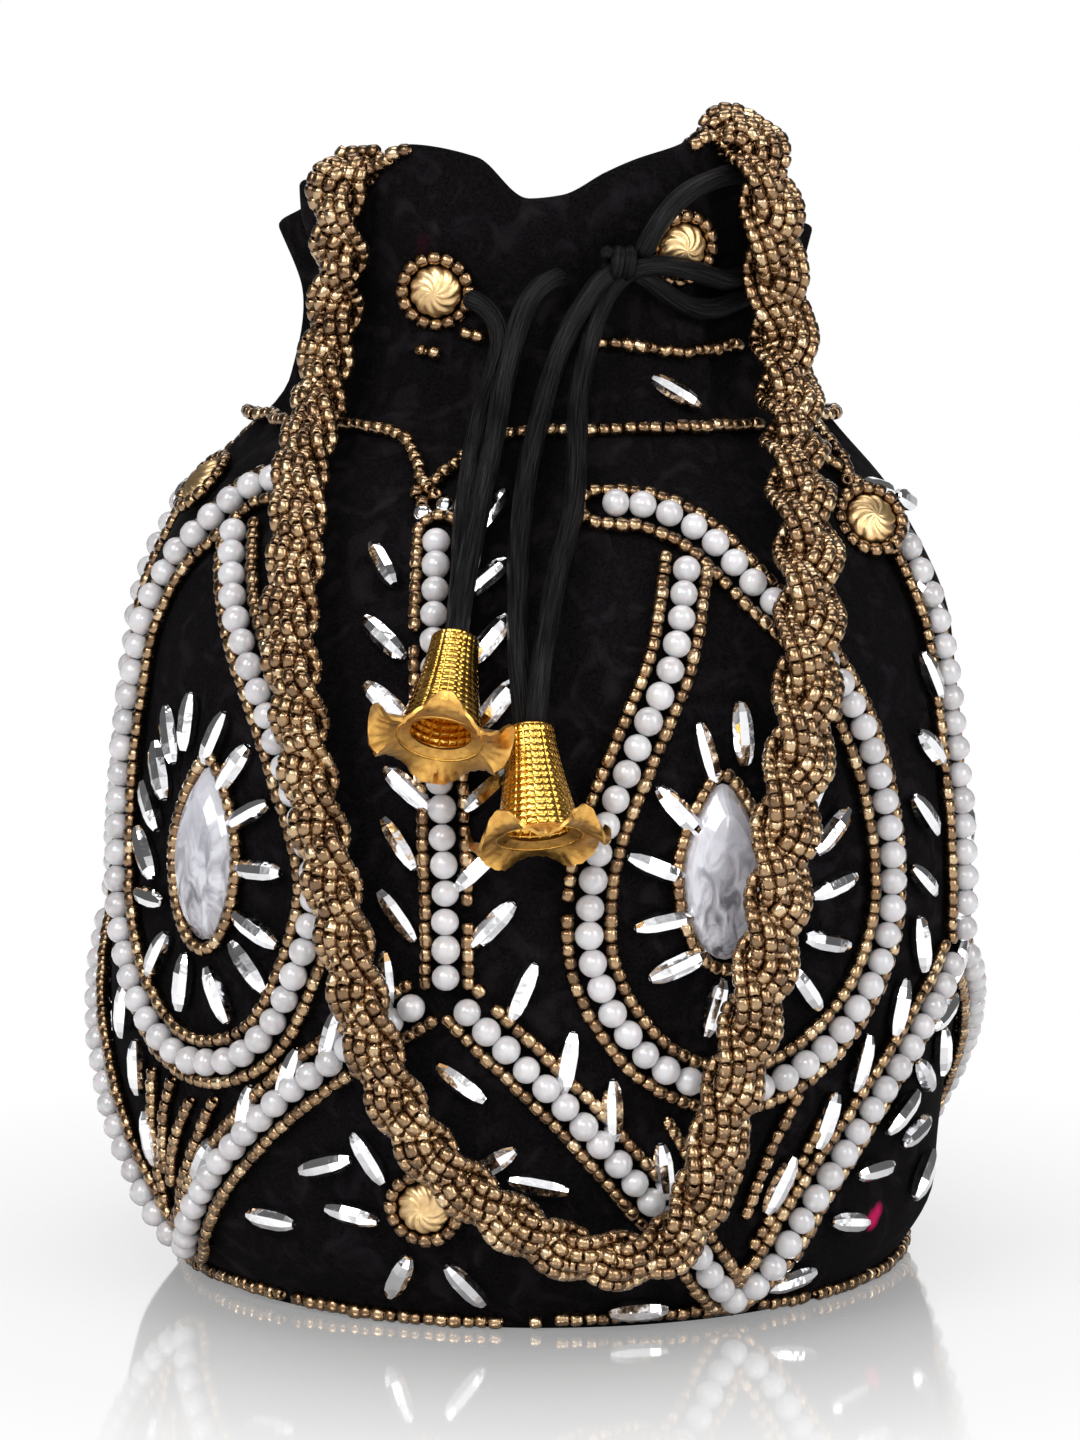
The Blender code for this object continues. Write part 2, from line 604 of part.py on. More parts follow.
def make_knot(finish):
    place = frame_on_wall(KNOT_PLACE[0], KNOT_PLACE[1], KNOT_PLACE[2])
    shape = bmesh.new()
    bmesh.ops.create_icosphere(shape, subdivisions=2, radius=0.5)
    size = Matrix.Diagonal((KNOT_LENGTH, KNOT_WIDTH, KNOT_WIDTH, 1.0))
    bmesh.ops.transform(shape, matrix=place @ size, verts=shape.verts)
    mesh = bpy.data.meshes.new("bow_knot")
    shape.to_mesh(mesh)
    shape.free()
    add_object("bow_knot", mesh, finish, 80)


def make_bell(name, top, mouth, finish):
    # A hollow cone that opens into wavy petals
    start, end = on_wall(*top), on_wall(*mouth)
    axis = (end - start).normalized()
    side = axis.cross(Vector((0, 1, 0))).normalized()
    other = axis.cross(side)

    def ring(down, radius, wave):
        points = []
        for i in range(BELL_SEGMENTS):
            turn = 2 * math.pi * i / BELL_SEGMENTS
            petal = math.cos(PETALS * turn) * wave
            reach = radius + PETAL_REACH * petal
            points.append(
                start + axis * (down + PETAL_DROOP * petal) + (side * math.cos(turn) + other * math.sin(turn)) * reach
            )
        return points

    outside = [ring(*row) for row in BELL_OUTLINE]
    rim_down, rim_radius, rim_wave = BELL_OUTLINE[-1]
    inside = [ring(rim_down + BELL_LIP_DROP, rim_radius - BELL_LIP, rim_wave)]
    for down, radius, wave in reversed(BELL_OUTLINE[2:-1]):
        inside.append(ring(down + BELL_WALL_DROP, radius - BELL_WALL, wave))
    inside.append(ring(BELL_CROWN, BELL_OUTLINE[1][1] - BELL_WALL, 0.0))
    loft(name, outside + inside, finish, smooth_angle=50)


for old in list(bpy.data.objects):
    bpy.data.objects.remove(old)

root = bpy.data.objects.new("potli_bag", None)
bpy.context.scene.collection.objects.link(root)

velvet = material("black_velvet", (0.012, 0.009, 0.011), 0.95)
satin_lining = material("lining_satin", (0.045, 0.010, 0.016), 0.55)
pearl = material("white_pearl", (0.86, 0.84, 0.82), 0.28)
bronze_glass = material("bronze_seed_bead", (0.42, 0.27, 0.10), 0.25, 1.0)
gold = material("polished_gold", (0.95, 0.62, 0.16), 0.16, 1.0)
button_gold = material("satin_gold", (0.72, 0.50, 0.25), 0.36, 1.0)
crystal = material("clear_stone", (0.82, 0.84, 0.88), 0.06)
silver = material("silver_bead", (0.86, 0.86, 0.88), 0.10, 1.0)
cord_satin = material("black_satin_cord", (0.010, 0.010, 0.012), 0.42)

make_body(velvet)
make_base(velvet)
make_lining(satin_lining)
make_pearls(pearl)
make_seed_lines(bronze_glass)
for side, lead in MEDALLION_LEAD.items():
    make_stone("stone_" + side, lead + STONE_SHIFT[side], STONE_RISE, crystal)
    make_rays("stone_rays_" + side, lead + STONE_SHIFT[side], STONE_RISE, silver)
for place_name, (button_angle, button_height) in BUTTONS.items():
    make_button("swirl_button_" + place_name, button_angle, button_height, button_gold)
make_handle(bronze_glass)
for cord_name, cord_route in CORD_ROUTES.items():
    make_cord(cord_name, cord_route, cord_satin)
make_knot(cord_satin)
for bell_name, (bell_top, bell_mouth) in BELLS.items():
    make_bell(bell_name, bell_top, bell_mouth, gold)
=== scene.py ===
# Potli bag in black velvet: beaded embroidery, plaited bead handle, satin drawstrings and two gold bells.
# Places on the bag are (angle, height): degrees from the front towards +X, and metres above the floor.
import math
import random

import bpy
import numpy as np
from mathutils import Matrix, Vector, noise


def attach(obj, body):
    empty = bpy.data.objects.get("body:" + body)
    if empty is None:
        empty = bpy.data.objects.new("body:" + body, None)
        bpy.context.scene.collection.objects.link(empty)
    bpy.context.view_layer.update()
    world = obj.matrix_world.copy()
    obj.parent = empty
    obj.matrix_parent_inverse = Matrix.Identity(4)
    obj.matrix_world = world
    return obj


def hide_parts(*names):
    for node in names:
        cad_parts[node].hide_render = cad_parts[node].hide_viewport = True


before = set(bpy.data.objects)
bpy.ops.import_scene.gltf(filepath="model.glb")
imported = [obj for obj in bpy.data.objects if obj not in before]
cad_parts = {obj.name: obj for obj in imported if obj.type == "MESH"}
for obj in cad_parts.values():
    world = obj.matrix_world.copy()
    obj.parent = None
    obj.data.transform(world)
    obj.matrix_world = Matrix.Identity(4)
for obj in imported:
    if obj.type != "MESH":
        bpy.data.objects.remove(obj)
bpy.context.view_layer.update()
mm = 0.001
random.seed(7)

# The bag's wall, the same curve as the CAD body
bag = {
    "profile": (  # (height, half width)
        (0.0, 0.0685), (0.016, 0.078), (0.065, 0.083), (0.122, 0.079), (0.148, 0.068), (0.170, 0.0485),
        (0.184, 0.0455), (0.202, 0.049),
    ),
    "neckHeight": 0.184,
    "shoulderHeight": 0.122,
    "bodyDepth": 0.97,
    "neckDepth": 0.78,
    "lean": (-0.0022, 0.030, 0.085),
    "wall": 0.0020,
    "folds": 12,
    "foldDepth": (0.0010, 0.0032),  # at the front, at the sides
    "foldHeights": (0.148, 0.174),
    "rim": (  # (angle, height above the neck)
        (-180, 0.013), (-135, 0.020), (-98, 0.014), (-62, 0.024), (-50, 0.025), (-42, 0.0262), (-30, 0.031),
        (-15, 0.0287), (-3, 0.0212), (4, 0.0218), (14, 0.0258), (22, 0.0286), (31, 0.031), (38, 0.0335),
        (46, 0.0325), (54, 0.029), (66, 0.0215), (98, 0.014), (135, 0.020), (180, 0.013),
    ),
}


def curveValue(stations, x):
    # Smooth curve through the stations that never overshoots them
    xs = [s[0] for s in stations]
    ys = [s[1] for s in stations]
    if x <= xs[0]:
        return ys[0]
    if x >= xs[-1]:
        return ys[-1]
    slopes = [(ys[i + 1] - ys[i]) / (xs[i + 1] - xs[i]) for i in range(len(xs) - 1)]
    tangents = [slopes[0]]
    for before, after in zip(slopes, slopes[1:]):
        tangents.append(2 * before * after / (before + after) if before * after > 0 else 0.0)
    tangents.append(slopes[-1])
    i = max(k for k in range(len(xs) - 1) if xs[k] <= x)
    step = xs[i + 1] - xs[i]
    t = (x - xs[i]) / step
    return (
        ys[i] * (1 + 2 * t) * (1 - t) ** 2
        + tangents[i] * step * t * (1 - t) ** 2
        + ys[i + 1] * t * t * (3 - 2 * t)
        + tangents[i + 1] * step * t * t * (t - 1)
    )


def smoothStep(x, low, high):
    t = min(1.0, max(0.0, (x - low) / (high - low)))
    return t * t * (3 - 2 * t)


def fromFront(angle):
    return (angle + 180) % 360 - 180


def foldDepth(angle, height):
    away = smoothStep(abs(fromFront(angle)), 32, 78)
    front, side = bag["foldDepth"]
    depth = front + (side - front) * away
    return depth * smoothStep(height, *bag["foldHeights"]) * math.cos(bag["folds"] * math.radians(angle))


def onWall(angle, height, standoff=0.0):
    turn = math.radians(angle)
    leanBy, leanHeight, upright = bag["lean"]
    lean = leanBy * (smoothStep(height, 0.0, leanHeight) - smoothStep(height, leanHeight, upright))
    width = curveValue(bag["profile"], height) + foldDepth(angle, height)
    share = smoothStep(height, bag["shoulderHeight"], bag["neckHeight"])
    ratio = bag["bodyDepth"] + (bag["neckDepth"] - bag["bodyDepth"]) * share
    return Vector((
        lean + (width + standoff) * math.sin(turn), -(width * ratio + standoff) * math.cos(turn), height
    ))


def wallNormal(angle, height):
    along = onWall(angle + 0.5, height) - onWall(angle - 0.5, height)
    up = onWall(angle, height + 0.5 * mm) - onWall(angle, height - 0.5 * mm)
    return along.cross(up).normalized()


def smoothRoute(route, steps=12):
    points = [tuple(p) for p in route]
    first = tuple(2 * a - b for a, b in zip(points[0], points[1]))
    last = tuple(2 * a - b for a, b in zip(points[-1], points[-2]))
    padded = [first] + points + [last]
    curve = []
    for p0, p1, p2, p3 in zip(padded, padded[1:], padded[2:], padded[3:]):
        for k in range(steps):
            t = k / steps
            curve.append(tuple(
                0.5 * (2 * b + (c - a) * t + (2 * a - 5 * b + 4 * c - d) * t * t
                       + (3 * b - a - 3 * c + d) * t ** 3)
                for a, b, c, d in zip(p0, p1, p2, p3)
            ))
    curve.append(points[-1])
    return curve


# Camera and light

photo = {
    "cameraPlace": (-0.0005, -1.0, 0.24),
    "cameraAim": (-0.0005, 0.0, 0.104),
    "lens": 129.935,
    "keyPower": 7.0,
    "fillPower": 4.5,
    "topPower": 3.5,
    "rimPower": 2.0,
    "worldLevel": 0.45,
    "frontGlow": 1.25,
    "sideGlow": 0.12,
    "frontEdge": (-0.85, -0.35),  # where along Y the bright front ends
    "behindEdge": (0.90, 0.95),
}


def aimAt(thing, place, target):
    thing.location = place
    thing.rotation_euler = (Vector(target) - Vector(place)).to_track_quat("-Z", "Y").to_euler()


def addCamera():
    data = bpy.data.cameras.new("photoCamera")
    data.sensor_width = 36
    data.lens = photo["lens"]
    data.clip_start = 0.05
    camera = bpy.data.objects.new("photoCamera", data)
    bpy.context.scene.collection.objects.link(camera)
    aimAt(camera, photo["cameraPlace"], photo["cameraAim"])
    bpy.context.scene.camera = camera


def addLamp(name, place, size, power):
    data = bpy.data.lights.new(name, "AREA")
    data.shape = "RECTANGLE"
    data.size, data.size_y = size
    data.energy = power
    lamp = bpy.data.objects.new(name, data)
    bpy.context.scene.collection.objects.link(lamp)
    aimAt(lamp, place, (0, 0, 0.10))


class NodeSet:
    # Short helpers for the nodes of a world or a material
    def __init__(self, owner):
        owner.use_nodes = True
        self.tree = owner.node_tree
        self.tree.nodes.clear()

    def add(self, kind, **settings):
        node = self.tree.nodes.new(kind)
        for setting, value in settings.items():
            setattr(node, setting, value)
        return node

    def link(self, source, target):
        self.tree.links.new(source, target)

    def give(self, value, socket):
        # Another node's output is linked; a number or a colour is set on the socket
        if isinstance(value, bpy.types.NodeSocket):
            self.link(value, socket)
        else:
            socket.default_value = (*value, 1) if isinstance(value, tuple) else value

    def maths(self, operation, first, second):
        node = self.add("ShaderNodeMath", operation=operation)
        self.give(first, node.inputs[0])
        self.give(second, node.inputs[1])
        return node.outputs[0]

    def spread(self, value, low, high, start, end):
        node = self.add("ShaderNodeMapRange")
        for socket, number in zip(("From Min", "From Max", "To Min", "To Max"), (low, high, start, end)):
            node.inputs[socket].default_value = number
        self.link(value, node.inputs["Value"])
        return node.outputs["Result"]

    def blend(self, kind, share, first, second):
        node = self.add(kind)
        for socket, value in enumerate((share, first, second)):
            self.give(value, node.inputs[(0, 2, 3)[socket] if kind == "ShaderNodeMix" else socket])
        return node.outputs[0]


def addWorld():
    # White to the eye; shiny things see a bright front, dark sides and a white distance behind the floor
    world = bpy.data.worlds.new("studio")
    bpy.context.scene.world = world
    made = NodeSet(world)
    path = made.add("ShaderNodeLightPath").outputs
    split = made.add("ShaderNodeSeparateXYZ")
    made.link(made.add("ShaderNodeTexCoord").outputs["Generated"], split.inputs[0])
    front = made.spread(split.outputs["Y"], *photo["frontEdge"], photo["frontGlow"], photo["sideGlow"])
    behind = made.spread(split.outputs["Y"], *photo["behindEdge"], 0.0, 1.0)
    mirrored = made.maths("MAXIMUM", front, behind)
    shiny = made.blend("ShaderNodeMix", path["Is Glossy Ray"], photo["worldLevel"], mirrored)
    seen = made.maths("MAXIMUM", path["Is Camera Ray"], path["Is Transmission Ray"])
    back = made.add("ShaderNodeBackground")
    back.inputs["Color"].default_value = (1, 1, 1, 1)
    made.link(made.blend("ShaderNodeMix", seen, shiny, 1.0), back.inputs["Strength"])
    made.link(back.outputs[0], made.add("ShaderNodeOutputWorld").inputs["Surface"])


floorStyle = {
    "size": 6.0,
    "colour": (0.94, 0.94, 0.94),
    "mirrorRoughness": 0.06,
    "whiten": (0.085, 0.135, 0.65, 1.0),  # from and to, in metres from the bag's middle, and how white there
    "mirror": (0.072, 0.180, 0.60, 0.0),
}


def addFloor():
    # White floor that keeps the contact shadow and a reflection that fades away from the bag
    bpy.ops.mesh.primitive_plane_add(size=floorStyle["size"], location=(0, 0, -0.1 * mm))
    floor = bpy.context.active_object
    floor.name = "studio_floor"
    finish = bpy.data.materials.new("whiteFloor")
    made = NodeSet(finish)
    matt = made.add("ShaderNodeBsdfDiffuse")
    made.give(floorStyle["colour"], matt.inputs["Color"])
    white = made.add("ShaderNodeEmission")
    mirror = made.add("ShaderNodeBsdfGlossy")
    mirror.inputs["Roughness"].default_value = floorStyle["mirrorRoughness"]
    far = made.add("ShaderNodeVectorMath", operation="LENGTH")
    made.link(made.add("ShaderNodeTexCoord").outputs["Object"], far.inputs[0])
    whiten = made.spread(far.outputs["Value"], *floorStyle["whiten"])
    shine = made.spread(far.outputs["Value"], *floorStyle["mirror"])
    seen = made.maths("MULTIPLY", whiten, made.add("ShaderNodeLightPath").outputs["Is Camera Ray"])
    surface = made.blend("ShaderNodeMixShader", seen, matt.outputs[0], white.outputs[0])
    surface = made.blend("ShaderNodeMixShader", shine, surface, mirror.outputs[0])
    made.link(surface, made.add("ShaderNodeOutputMaterial").inputs["Surface"])
    floor.data.materials.append(finish)


addCamera()
addLamp("keyLamp", (-0.55, -0.75, 0.75), (0.45, 0.60), photo["keyPower"])
addLamp("fillLamp", (0.75, -0.60, 0.45), (0.40, 0.70), photo["fillPower"])
addLamp("topLamp", (0.0, 0.15, 0.95), (0.70, 0.50), photo["topPower"])
addLamp("rimLamp", (0.0, -0.9, 0.55), (0.30, 0.20), photo["rimPower"])
addWorld()
addFloor()
bpy.context.scene.view_settings.view_transform = "Standard"
print("camera, lamps and floor are set")


# Finishes

class Finish(NodeSet):
    # A Principled material with short helpers for its pattern
    def __init__(self, name, **values):
        self.material = bpy.data.materials.new(name)
        super().__init__(self.material)
        self.shader = self.add("ShaderNodeBsdfPrincipled")
        self.link(self.shader.outputs[0], self.add("ShaderNodeOutputMaterial").inputs["Surface"])
        for socket, value in values.items():
            self.give(value, self.shader.inputs[socket.replace("_", " ")])

    def place(self, scale=(1, 1, 1), source="Object"):
        where = self.add("ShaderNodeTexCoord")
        mapping = self.add("ShaderNodeMapping")
        mapping.inputs["Scale"].default_value = scale
        self.link(where.outputs[source], mapping.inputs["Vector"])
        return mapping.outputs["Vector"]

    def noise(self, size, detail=2.0, vector=None, distortion=0.0):
        node = self.add("ShaderNodeTexNoise")
        node.inputs["Scale"].default_value = 1 / size
        node.inputs["Detail"].default_value = detail
        node.inputs["Distortion"].default_value = distortion
        self.link(vector if vector is not None else self.place(), node.inputs["Vector"])
        return node.outputs["Fac"]

    def ramp(self, value, *stops):
        node = self.add("ShaderNodeValToRGB")
        while len(node.color_ramp.elements) < len(stops):
            node.color_ramp.elements.new(0.5)
        for element, (position, colour) in zip(node.color_ramp.elements, stops):
            element.position = position
            element.color = (*colour, 1)
        self.link(value, node.inputs[0])
        return node.outputs["Color"]

    def mix(self, share, first, second):
        node = self.add("ShaderNodeMix", data_type="RGBA")
        for socket, value in ((0, share), (6, first), (7, second)):
            self.give(value, node.inputs[socket])
        return node.outputs[2]

    def bump(self, height, depth, strength=1.0):
        node = self.add("ShaderNodeBump")
        node.inputs["Distance"].default_value = depth
        node.inputs["Strength"].default_value = strength
        self.link(height, node.inputs["Height"])
        self.link(node.outputs[0], self.shader.inputs["Normal"])

    def colour(self, source):
        self.link(source, self.shader.inputs["Base Color"])

    def roughness(self, source):
        self.link(source, self.shader.inputs["Roughness"])

    def near(self, spot, radius, soft):
        # One inside a ball round a place on the bag's wall, zero outside it
        away = self.add("ShaderNodeVectorMath", operation="DISTANCE")
        away.inputs[1].default_value = onWall(*spot)
        self.link(self.place(), away.inputs[0])
        return self.spread(away.outputs["Value"], radius - soft, radius + soft, 1.0, 0.0)

    def tint(self):
        return self.add("ShaderNodeAttribute", attribute_name="tint").outputs["Fac"]


# Bright marks where the dye shows through, as a place on the wall and a radius
dyeSpots = (((54.4, 0.0151), 1.7 * mm), ((55.6, 0.0166), 1.1 * mm))


def velvetFinish():
    made = Finish("blackVelvet", Roughness=0.95, Specular_IOR_Level=0.03, Sheen_Weight=0.012,
                  Sheen_Roughness=0.35, Sheen_Tint=(0.55, 0.52, 0.56))
    pile = made.noise(0.45 * mm, 3.0)
    patches = made.noise(26 * mm, 2.0, made.place(), 0.4)
    stains = made.noise(9 * mm, 3.0)
    base = made.ramp(pile, (0.30, (0.0012, 0.0010, 0.0012)), (0.75, (0.0062, 0.0054, 0.0060)))
    # Lighter patches mixed into the base colour are painted sheen, where the pile would catch the light
    paintedSheen = made.noise(7 * mm, 3.0, made.place(), 1.2)
    base = made.mix(made.spread(paintedSheen, 0.50, 0.76, 0.0, 0.6), base, (0.016, 0.0135, 0.0155))
    spot = made.spread(stains, 0.66, 0.78, 0.0, 0.7)
    zone = made.spread(patches, 0.56, 0.66, 0.0, 1.0)
    flecked = made.mix(made.maths("MULTIPLY", spot, zone), base, (0.040, 0.003, 0.010))
    for spot, radius in dyeSpots:
        flecked = made.mix(made.near(spot, radius, 0.9 * mm), flecked, (0.42, 0.012, 0.085))
    made.colour(flecked)
    made.bump(pile, 0.35 * mm, 0.6)
    return made.material


def liningFinish():
    made = Finish("liningSatin", Roughness=0.38, Sheen_Weight=0.2)
    weave = made.noise(0.6 * mm, 2.0, made.place((1, 1, 0.1)))
    made.colour(made.ramp(weave, (0.3, (0.030, 0.006, 0.010)), (0.7, (0.075, 0.014, 0.024))))
    made.bump(weave, 0.1 * mm, 0.4)
    return made.material


def pearlFinish():
    made = Finish("whitePearl", Roughness=0.26, Coat_Weight=0.9, Coat_Roughness=0.10, Subsurface_Weight=0.25,
                  Subsurface_Scale=0.001, Sheen_Weight=0.05)
    cloud = made.noise(1.6 * mm, 2.0)
    soft = made.ramp(cloud, (0.3, (0.36, 0.345, 0.355)), (0.7, (0.50, 0.49, 0.50)))
    made.colour(made.mix(made.tint(), soft, (0.54, 0.53, 0.545)))
    return made.material


def bronzeFinish():
    made = Finish("bronzeSeed", Metallic=1.0, Roughness=0.22, Coat_Weight=0.5, Coat_Roughness=0.05)
    made.colour(made.ramp(made.tint(), (0.0, (0.13, 0.072, 0.033)), (0.45, (0.25, 0.150, 0.073)),
                          (0.85, (0.36, 0.235, 0.125)), (1.0, (0.54, 0.39, 0.23))))
    rough = made.noise(0.9 * mm, 2.0)
    made.roughness(made.spread(rough, 0.3, 0.7, 0.16, 0.34))
    made.bump(rough, 0.12 * mm, 0.5)
    return made.material


def silverFinish():
    made = Finish("silverBead", Metallic=1.0, Roughness=0.10)
    ripple = made.noise(1.5 * mm, 1.0)
    made.colour(made.ramp(made.tint(), (0.0, (0.74, 0.74, 0.76)), (1.0, (0.95, 0.95, 0.97))))
    made.roughness(made.spread(ripple, 0.3, 0.7, 0.06, 0.16))
    made.bump(ripple, 0.15 * mm, 0.5)
    return made.material


def bellFinish():
    made = Finish("polishedGold", Metallic=1.0, Roughness=0.16)
    wear = made.noise(2.2 * mm, 3.0)
    made.colour(made.ramp(wear, (0.25, (0.58, 0.28, 0.040)), (0.6, (0.80, 0.47, 0.095)),
                          (0.9, (0.95, 0.64, 0.20))))
    made.roughness(made.spread(wear, 0.3, 0.8, 0.12, 0.26))
    made.bump(made.noise(0.7 * mm, 2.0), 0.10 * mm, 0.5)
    return made.material


def petalFinish():
    made = Finish("satinPetal", Metallic=1.0, Roughness=0.34)
    wear = made.noise(1.6 * mm, 3.0)
    made.colour(made.ramp(wear, (0.25, (0.42, 0.20, 0.045)), (0.7, (0.72, 0.42, 0.11))))
    made.roughness(made.spread(wear, 0.3, 0.8, 0.26, 0.46))
    made.bump(made.noise(0.5 * mm, 3.0), 0.12 * mm, 0.7)
    return made.material


def buttonFinish():
    made = Finish("satinGold", Metallic=1.0, Roughness=0.38)
    wear = made.noise(1.2 * mm, 2.0)
    made.colour(made.ramp(wear, (0.3, (0.60, 0.40, 0.19)), (0.8, (0.78, 0.56, 0.30))))
    made.bump(made.noise(0.4 * mm, 2.0), 0.05 * mm, 0.5)
    return made.material


def stoneFinish():
    made = Finish("milkyStone", Roughness=0.12, Coat_Weight=1.0, Coat_Roughness=0.03, Subsurface_Weight=0.15,
                  Subsurface_Scale=0.002)
    veins = made.noise(4.0 * mm, 3.0, made.place((1.4, 1.4, 0.7)), 0.9)
    milk = made.ramp(veins, (0.36, (0.10, 0.095, 0.11)), (0.50, (0.31, 0.305, 0.34)),
                     (0.62, (0.52, 0.52, 0.56)))
    height = made.add("ShaderNodeSeparateXYZ")
    made.link(made.place(), height.inputs[0])
    cloud = made.spread(height.outputs["Z"], 0.080, 0.096, 0.0, 0.85)
    made.colour(made.mix(cloud, milk, (0.50, 0.50, 0.55)))
    return made.material


def cordFinish():
    made = Finish("satinCord", Roughness=0.38, Specular_IOR_Level=0.085, Sheen_Weight=0.008,
                  Sheen_Roughness=0.4, Sheen_Tint=(0.7, 0.7, 0.75))
    fibres = made.noise(0.03, 3.0, made.place((1.0, 0.055, 1.0), "UV"), 0.2)
    made.colour(made.ramp(fibres, (0.42, (0.0010, 0.0010, 0.0012)), (0.64, (0.0100, 0.0100, 0.0110))))
    made.bump(fibres, 0.5 * mm, 1.0)
    return made.material


velvet = velvetFinish()
pearlWhite = pearlFinish()
bronze = bronzeFinish()
silver = silverFinish()
gold = bellFinish()
petalGold = petalFinish()
buttonGold = buttonFinish()
stoneMilk = stoneFinish()
cordBlack = cordFinish()
print("finishes are made")


# Tools for shapes

def deselectAll():
    if bpy.context.object and bpy.context.object.mode != "OBJECT":
        bpy.ops.object.mode_set(mode="OBJECT")
    bpy.ops.object.select_all(action="DESELECT")


def makeActive(made):
    deselectAll()
    bpy.context.view_layer.objects.active = made
    made.select_set(True)


def addGrid(name, around, rings):
    # A flat grid whose X runs round the piece and whose Y runs along it, from -0.5 to 0.5
    deselectAll()
    bpy.ops.mesh.primitive_grid_add(x_subdivisions=around, y_subdivisions=rings, size=1)
    made = bpy.context.active_object
    made.name = name
    return made


def addMesh(name, mesh):
    made = bpy.data.objects.new(name, mesh)
    bpy.context.scene.collection.objects.link(made)
    return made


def mendMesh():
    # Corners that meet are joined, and the faces turned outwards
    bpy.ops.object.mode_set(mode="EDIT")
    bpy.ops.mesh.select_all(action="SELECT")
    bpy.ops.mesh.remove_doubles(threshold=0.00001)
    bpy.ops.mesh.normals_make_consistent(inside=False)
    bpy.ops.object.mode_set(mode="OBJECT")


def thicken(made, thickness, offset=0):
    wall = made.modifiers.new("wall", "SOLIDIFY")
    wall.thickness = thickness
    wall.offset = offset
    makeActive(made)
    bpy.ops.object.modifier_apply(modifier="wall")


def smoothEdges(angle):
    bpy.ops.object.shade_smooth_by_angle(angle=math.radians(angle))


def latheShape(name, profile, steps, angle=30):
    # One corner of a plane is pulled through the profile (radius, height), then spun about Z
    deselectAll()
    bpy.ops.mesh.primitive_plane_add(size=0.001, location=(0, 0, 0))
    made = bpy.context.active_object
    made.name = name
    radius, height = profile[0]
    bpy.ops.object.mode_set(mode="EDIT")
    bpy.ops.mesh.select_all(action="SELECT")
    bpy.ops.mesh.merge(type="CENTER")
    bpy.ops.transform.translate(value=(radius, 0, height))
    for (r0, z0), (r1, z1) in zip(profile, profile[1:]):
        bpy.ops.mesh.extrude_region_move(TRANSFORM_OT_translate={"value": (r1 - r0, 0, z1 - z0)})
    bpy.ops.mesh.select_all(action="SELECT")
    bpy.ops.mesh.spin(steps=steps, angle=2 * math.pi, center=(0, 0, 0), axis=(0, 0, 1))
    bpy.ops.object.mode_set(mode="OBJECT")
    mendMesh()
    smoothEdges(angle)
    return made


def takeShape(made):
    # The corners and faces of a small model, which is then removed
    mesh = made.data
    corners = np.empty(len(mesh.vertices) * 3)
    mesh.vertices.foreach_get("co", corners)
    faces = [tuple(face.vertices) for face in mesh.polygons]
    bpy.data.objects.remove(made)
    return {"corners": corners.reshape(-1, 3), "faces": faces}


def finishPiece(made, finish, nodes=()):
    made.data.materials.clear()
    made.data.materials.append(finish)
    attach(made, "root")
    if nodes:
        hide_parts(*nodes)
    return made


def copyShape(name, shape, places, finish, nodes=(), brightest=1.0, smooth=True):
    # A piece of many copies: places are 4 x 4 matrices, and each copy has its own tint
    base = shape["corners"]
    count = len(base)
    spots = np.array([np.array(place) for place in places])
    corners = np.einsum("kij,nj->kni", spots[:, :3, :3], base) + spots[:, None, :3, 3]
    faces = [tuple(k * count + i for i in face) for k in range(len(places)) for face in shape["faces"]]
    mesh = bpy.data.meshes.new(name)
    mesh.from_pydata(corners.reshape(-1, 3).tolist(), [], faces)
    mesh.polygons.foreach_set("use_smooth", [smooth] * len(faces))
    tint = mesh.attributes.new("tint", "FLOAT", "POINT")
    values = [random.random() * brightest for _ in places]
    tint.data.foreach_set("value", np.repeat(values, count).astype(np.float32))
    mesh.update()
    return finishPiece(addMesh(name, mesh), finish, nodes)


def frameAlong(place, along, out, scale=(1, 1, 1)):
    # Local Z runs along the row and local X points out of the wall
    z = along.normalized()
    x = (out - z * out.dot(z)).normalized()
    y = z.cross(x)
    made = Matrix((x * scale[0], y * scale[1], z * scale[2])).transposed().to_4x4()
    made.translation = place
    return made


def frameOnWall(angle, height, lift, tilt=0.0):
    # Local X runs round the bag, Y up the wall turned clockwise by the tilt, Z straight out
    out = wallNormal(angle, height)
    up = (Vector((0, 0, 1)) - out * out.z).normalized()
    place = Matrix((up.cross(out), up, out)).transposed().to_4x4()
    place.translation = onWall(angle, height) + out * lift
    return place @ Matrix.Rotation(-math.radians(tilt), 4, "Z")


def resample(points, pitch, closed=False):
    # Steps of equal length along a line of (place, normal) pairs
    if closed:
        points = points + [points[0]]
    lengths = [0.0]
    for (a, _), (b, _) in zip(points, points[1:]):
        lengths.append(lengths[-1] + (b - a).length)
    count = max(2, round(lengths[-1] / pitch))
    even = []
    k = 0
    for step in range(count):
        wanted = lengths[-1] * (step + 0.5) / count
        while k < len(points) - 2 and lengths[k + 1] < wanted:
            k += 1
        share = (wanted - lengths[k]) / max(1e-9, lengths[k + 1] - lengths[k])
        (a, na), (b, nb) = points[k], points[k + 1]
        even.append((a.lerp(b, share), (b - a).normalized(), na.lerp(nb, share).normalized()))
    return even


def wallLine(route, aside=0.0, lift=0.0):
    # A line on the wall through (angle, height) places, moved aside within the wall and lifted off it
    spots = [(onWall(a, h), wallNormal(a, h)) for a, h in smoothRoute(route)]
    line = []
    for k, (place, out) in enumerate(spots):
        before, after = spots[max(k - 1, 0)][0], spots[min(k + 1, len(spots) - 1)][0]
        side = (after - before).cross(out).normalized()
        moved = place + side * aside
        line.append((moved + out * lift, out))
    return line


